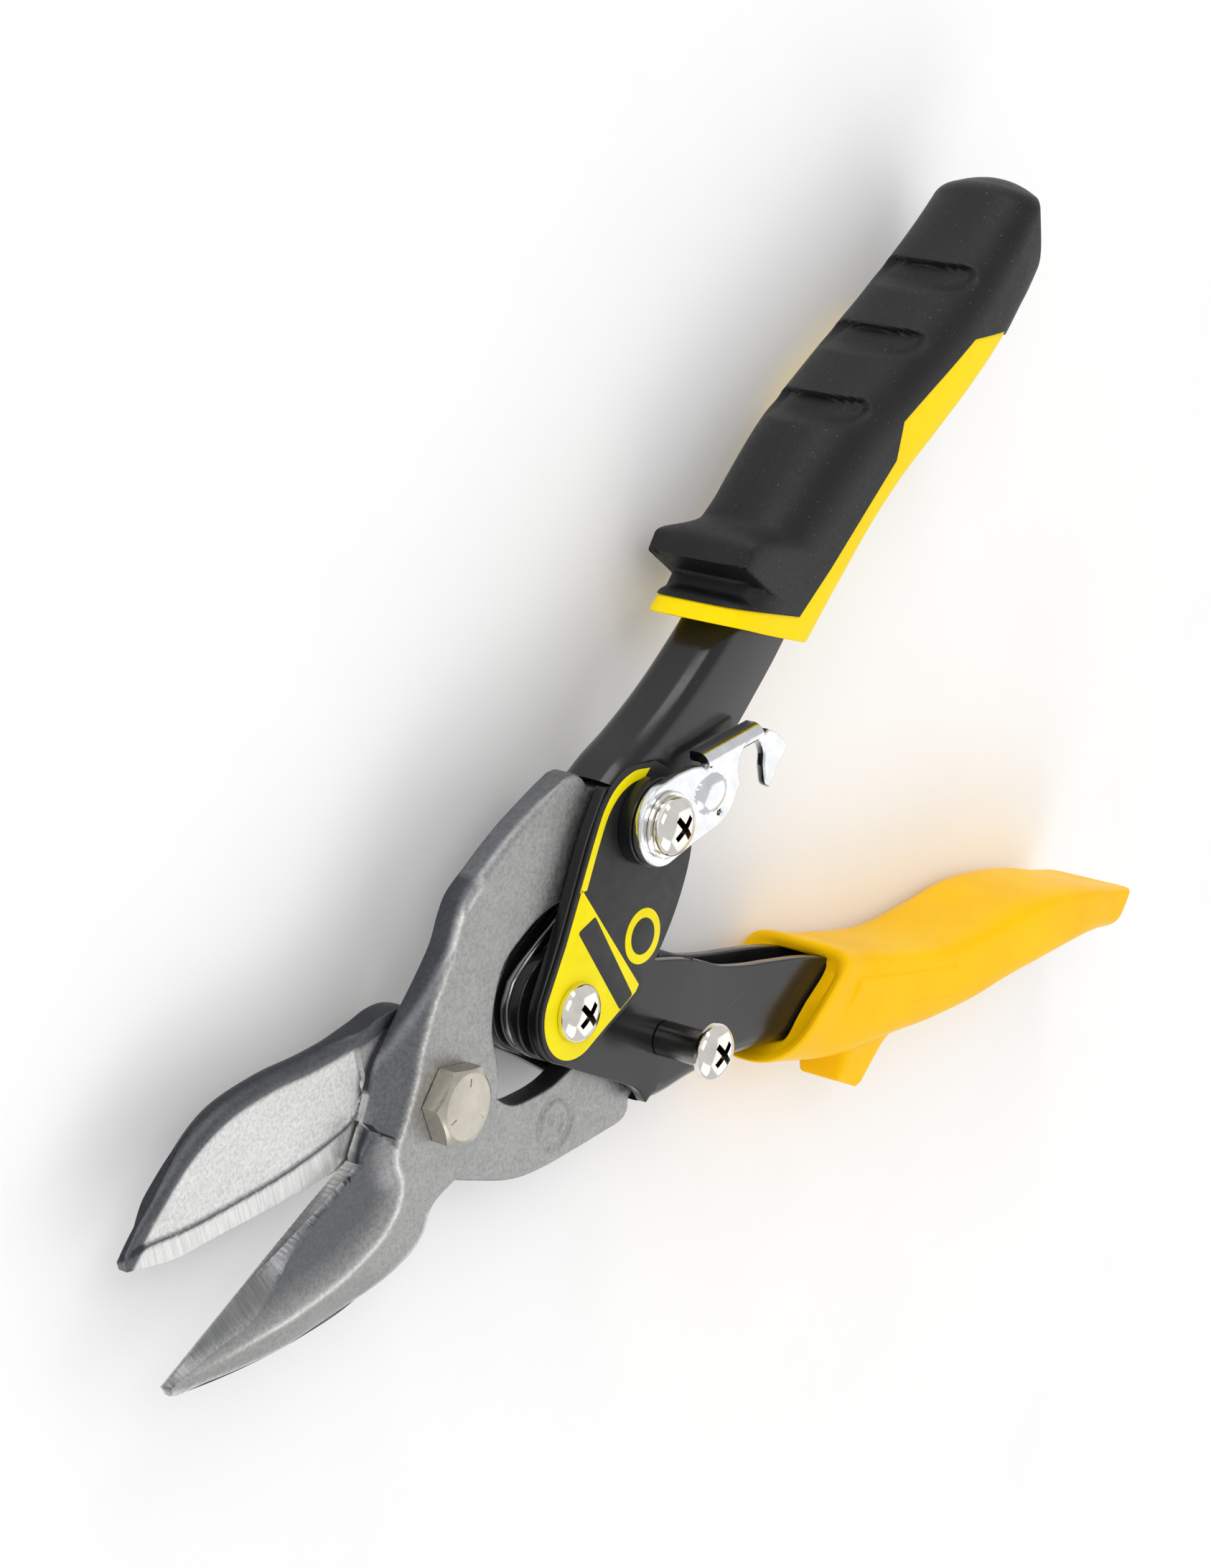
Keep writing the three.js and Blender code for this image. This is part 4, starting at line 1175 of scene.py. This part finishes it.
class Grip:
    """A moulded grip over the handle's tang, open at its mouth. mouth_lean and end_shape push the mouth's and
    the end's rings along the grip; detail moves a ring's points; swell thickens the whole grip."""

    def __init__(self, sections, mouth, mouth_lean, lip, mouth_power, end, end_round, powers, detail,
                 end_shape, swell=0.0):
        self.sections, self.mouth, self.mouth_lean, self.lip = sections, mouth, mouth_lean, lip
        self.end, self.end_round, self.end_shape = end, end_round, end_shape
        self.detail, self.swell = detail, swell
        angle = -np.linspace(0, 2 * math.pi, AROUND, endpoint=False)
        self.round_section = np.array(squircle(angle, *powers))
        self.boxy_section = np.array(squircle(angle, powers[0], mouth_power))
        self.hole = squircle(angle, 7, 7)

    def lean(self, u, v, across, up):
        return self.mouth_lean(v, across, up) * (1 - smoothstep(u, self.mouth, self.mouth + MOUTH_BLEND))

    def ring(self, u, shift=0.0, inward=0.0, size=1.0):
        """The skin's ring at u, moved by shift along the grip and by inward into it, and shrunk to size."""
        middle, height, thick = section_at(self.sections, u)
        roundness = smoothstep(u, self.mouth + 6, self.mouth + 20)
        across, up = (self.boxy_section + (self.round_section - self.boxy_section) * roundness) * size
        v = (height + self.swell - inward) * across
        z = (thick + self.swell - inward) * up
        slope = section_at(self.sections, u + 0.5)[0] - section_at(self.sections, u - 0.5)[0]
        near_end = smoothstep(u, self.end - END_BLEND, self.end)
        slant = self.lean(u, v, across, up) + self.end_shape(across, up) * near_end
        points = np.column_stack((u + slant + shift, middle + v + slope * shift, GRIP_CENTRE + z))
        return self.detail(points, across, up, u)

    def cavity_ring(self, u, room=0.3, size=1.0):
        """The cavity's ring at u, round the tang."""
        outer, inner = np.interp(u, *back_outer.T) + room, np.interp(u, *back_inner.T) - room
        across, up = self.hole
        v = (outer - inner) / 2 * size * across
        thick = ((CHANNEL_TOP - CHANNEL_BOTTOM) / 2 + room) * size
        along = u + self.lean(u, v, across, up)
        return np.column_stack((along, (outer + inner) / 2 + v, GRIP_CENTRE + thick * up))

    def solid(self):
        rings = [self.cavity_ring(CAVITY_END, size=0.02)]
        rings += [self.cavity_ring(u) for u in np.linspace(CAVITY_END, self.mouth + 0.8, 40)]
        rings.append(self.cavity_ring(self.mouth, room=0.6) + (0.3, 0, 0))
        for turn in np.linspace(0, math.pi / 2, 6):
            inward = self.lip * (1 - math.sin(turn))
            rings.append(self.ring(self.mouth, 0.9 * (inward - self.lip * math.cos(turn)), inward))
        last = self.end - self.end_round
        rings += [self.ring(u) for u in np.arange(self.mouth + 0.4, last, RING_SPACING)]
        for turn in np.linspace(0.1, END_TURN, 8):
            shift, inward = self.end_round * math.sin(turn), self.end_round * (1 - math.cos(turn))
            rings.append(self.ring(last, shift, inward))
        rings += [self.ring(last, shift, inward, size) for size in END_SIZES]
        skin = loft(rings)
        return Solid(np.column_stack((on_handle(skin.points[:, :2]), skin.points[:, 2])), skin.faces)


def bulge(u, start, end, rise, fall):
    """1 between start and end, with a flank rise long before it and fall long after it."""
    return smoothstep(u, start - rise, start) * (1 - smoothstep(u, end, end + fall))


# Finger grooves of the upper grip: where each crosses the grip's middle, and how far round it ends.
GROOVES = ((108.8, 0.86), (123.8, 0.89), (137.8, 0.88))
GROOVE_SLOPE = 0.42
GROOVE_DEPTH = 1.2
FLANGE_V = 2.6


def groove_depth(u, v, across, middle, height):
    """Depth of the finger grooves: crisp on the side towards the end, fading on the other."""
    total = np.zeros(len(u))
    for start, stop in GROOVES:
        square = (u - start + GROOVE_SLOPE * (v - middle + 0.4 * (start - u))) * 0.92
        past = np.minimum(across - stop, 0) * height
        away = np.hypot(square, past)
        crisp = 1 - smoothstep(away, 1.5, 2.1)
        soft = 1 - smoothstep(away, 0.8, 3.2)
        total += GROOVE_DEPTH * (soft + (crisp - soft) * smoothstep(square, -1.2, 1.2))
    return total


def groove_shade(points):
    """1 down in the finger grooves, 0 outside them: where the rubber gets painted shade."""
    from_pivot = points[:, :2] - HANDLE_PIVOT
    u, v = from_pivot @ ALONG, from_pivot @ OUTWARDS
    middle, height, _ = section_at(UPPER_SECTIONS, u)
    return groove_depth(u, v, (v - middle) / height, middle, height) / GROOVE_DEPTH


def upper_detail(points, across, up, ring_u):
    """Guard flange, neck and finger grooves of the upper grip."""
    u, v, _ = points.T
    middle, height, _ = section_at(UPPER_SECTIONS, ring_u)
    flange = bulge(u, 71.6, 74.4, 0.7, 6.5) * smoothstep(across, -0.3, 0.35)
    neck = 1.2 * bulge(u, 68.4, 70.6, 1.6, 0.6) * smoothstep(across, -0.2, 0.5)
    neck = neck - 0.7 * (1 - smoothstep(u, UPPER_MOUTH - 2, UPPER_MOUTH + 2)) * smoothstep(across, 0, 0.8)
    depth = groove_depth(u, v, across, middle, height)
    facing = np.column_stack((np.sign(across) * np.abs(across) ** 1.3, np.sign(up) * np.abs(up) ** 1.3))
    facing /= lengths(facing)[:, None]
    moved = points.copy()
    moved[:, 1] += flange * (FLANGE_V - v) * np.clip(across + 0.35, 0, 1) - neck - depth * facing[:, 0]
    moved[:, 2] -= depth * facing[:, 1]
    return moved


def lower_detail(points, across, up, ring_u):
    """Flared mouth, guard block and raised blank panel of the lower grip."""
    u, v, z = points.T
    flare = math.exp(-((ring_u - LOWER_MOUTH) / 4.5) ** 2)
    beside = 1 - smoothstep(np.abs(z - 1.6), 3.6, 5.8)
    block = bulge(u, 86.6, 92.8, 2.4, 4.2) * smoothstep(across, 0.2, 0.5) * beside
    from_panel = v + 0.265 * (u - 75)
    panel = bulge(u, 75.5, 103, 0.4, 0.4) * bulge(from_panel, -17.9, -13.2, 0.4, 0.4)
    moved = points.copy()
    moved[:, 1] += np.maximum(-1.3 - v, 0) * block + 0.2 * flare * across
    moved[:, 2] += 0.6 * flare * up
    moved[:, 2] += 0.4 * panel * smoothstep(np.abs(up), 0.5, 0.7) * np.sign(up)
    return moved


def upper_mouth(v, across, up):
    return -0.26 * v


def lower_mouth(v, across, up):
    """Cut back in a hollow curve on its inner front corner."""
    return -0.3 * v + 2.0 * smoothstep(-up, -0.2, 1) * smoothstep(-across, -0.4, 0.9)


def upper_end(across, up):
    """Rounded on its outer side, with a facet across its inner corner."""
    return -2.6 * np.maximum(across, 0) ** 2 - 2.4 * up ** 2 - 10.0 * np.clip((0.1 - across) / 1.1, 0, 1)


def lower_end(across, up):
    """Rounded at both sides."""
    return -0.9 * across - 3.2 * np.abs(up) ** 4


def upper_grip(swell):
    return Grip(UPPER_SECTIONS, UPPER_MOUTH, upper_mouth, lip=0.8, mouth_power=4.0, end=156.9, end_round=4.0,
                powers=(4.2, 2.3), detail=upper_detail, end_shape=upper_end, swell=swell).solid()


def lower_grip():
    return Grip(LOWER_SECTIONS, LOWER_MOUTH, lower_mouth, lip=2.0, mouth_power=2.4, end=160.4, end_round=2.0,
                powers=(6.0, 2.4), detail=lower_detail, end_shape=lower_end).solid()


# The rubber covers the outer side of the upper grip and its end; the yellow core shows elsewhere.
sleeve_outline = straight([
    (58, 24), (66.4, -2), (70.5, -15.2), (80, -18.4), (90, -21.2), (100.8, -24.2), (106.7, -22.3),
    (115.5, -27.2), (125.7, -33), (130.6, -41), (133, -70), (190, -70), (190, 24), (58, 24)], 4.0)
sleeve_block = relief(on_handle(sleeve_outline), -20.0, 26.0, 0.001)
sleeve = combine(upper_grip(0.0), sleeve_block, "INTERSECT")
core = combine(upper_grip(-0.25), sleeve_block, "DIFFERENCE")
grooves = {"groove": groove_shade(sleeve.points)}
piece("upper_grip_rubber", sleeve, "upper_handle", rubber, "upper_grip_sleeve", grooves)
piece("upper_grip_yellow", core, "upper_handle", yellow, "upper_grip_core")
piece("lower_grip_moulding", lower_grip().twin(), "lower_handle", golden, "lower_grip")


# ---------- camera, floor and light ----------

CAMERA_PLACE = (-371.5, 347.4, 377.8)
FLOOR_HALF = 4.0
LIGHT_AIM = (0.05, 0, 0.01)


def camera():
    """The photograph's viewpoint: from the blades' side, above, looking along the tool."""
    data = bpy.data.cameras.new("camera")
    data.sensor_fit = "VERTICAL"
    data.sensor_height = 36
    data.lens = 98.9
    data.clip_start = 0.01
    obj = new_object("camera", data)
    forward = Vector((0.6477, -0.4951, -0.5791)).normalized()
    down = Vector((-0.4824, -0.8548, 0.1912))
    down = (down - forward * down.dot(forward)).normalized()
    turn = Matrix((down.cross(forward), -down, -forward)).transposed().to_4x4()
    x, y, z = CAMERA_PLACE
    obj.matrix_world = Matrix.Translation(Vector((x, y, z + MID)) * MM) @ turn
    bpy.context.scene.camera = obj


def floor():
    corners = [(x * FLOOR_HALF, y * FLOOR_HALF, 0) for x, y in ((-1, -1), (1, -1), (1, 1), (-1, 1))]
    mesh = bpy.data.meshes.new("floor")
    mesh.from_pydata(corners, [], [(0, 1, 2, 3)])
    obj = new_object("floor", mesh)
    m = Nodes("floor_white")
    mesh.materials.append(m.finish(m.blotches(40, 0.93, 0.95), 0.8, m.bump(m.noise(2), 0.001)))


def softbox(name, place, width, height, power):
    data = bpy.data.lights.new(name, "AREA")
    data.shape = "RECTANGLE"
    data.size, data.size_y = width, height
    data.energy = power
    obj = new_object(name, data)
    obj.location = place
    obj.rotation_euler = (Vector(LIGHT_AIM) - Vector(place)).to_track_quat("-Z", "Y").to_euler()


def light():
    world = bpy.data.worlds.new("studio")
    world.use_nodes = True
    background = world.node_tree.nodes["Background"]
    background.inputs["Color"].default_value = (1, 1, 1, 1)
    background.inputs["Strength"].default_value = 0.72
    bpy.context.scene.world = world
    softbox("key", (-0.5, 0.9, 0.9), 0.7, 0.7, 4)
    softbox("side", (0.3, 1.1, 0.35), 0.25, 0.9, 3)
    softbox("fill", (-0.4, -0.9, 0.8), 0.9, 0.9, 3)
    softbox("back", (0.9, -0.7, 0.8), 1.3, 1.3, 3)


camera()
floor()
light()
bpy.context.scene.view_settings.view_transform = "Standard"
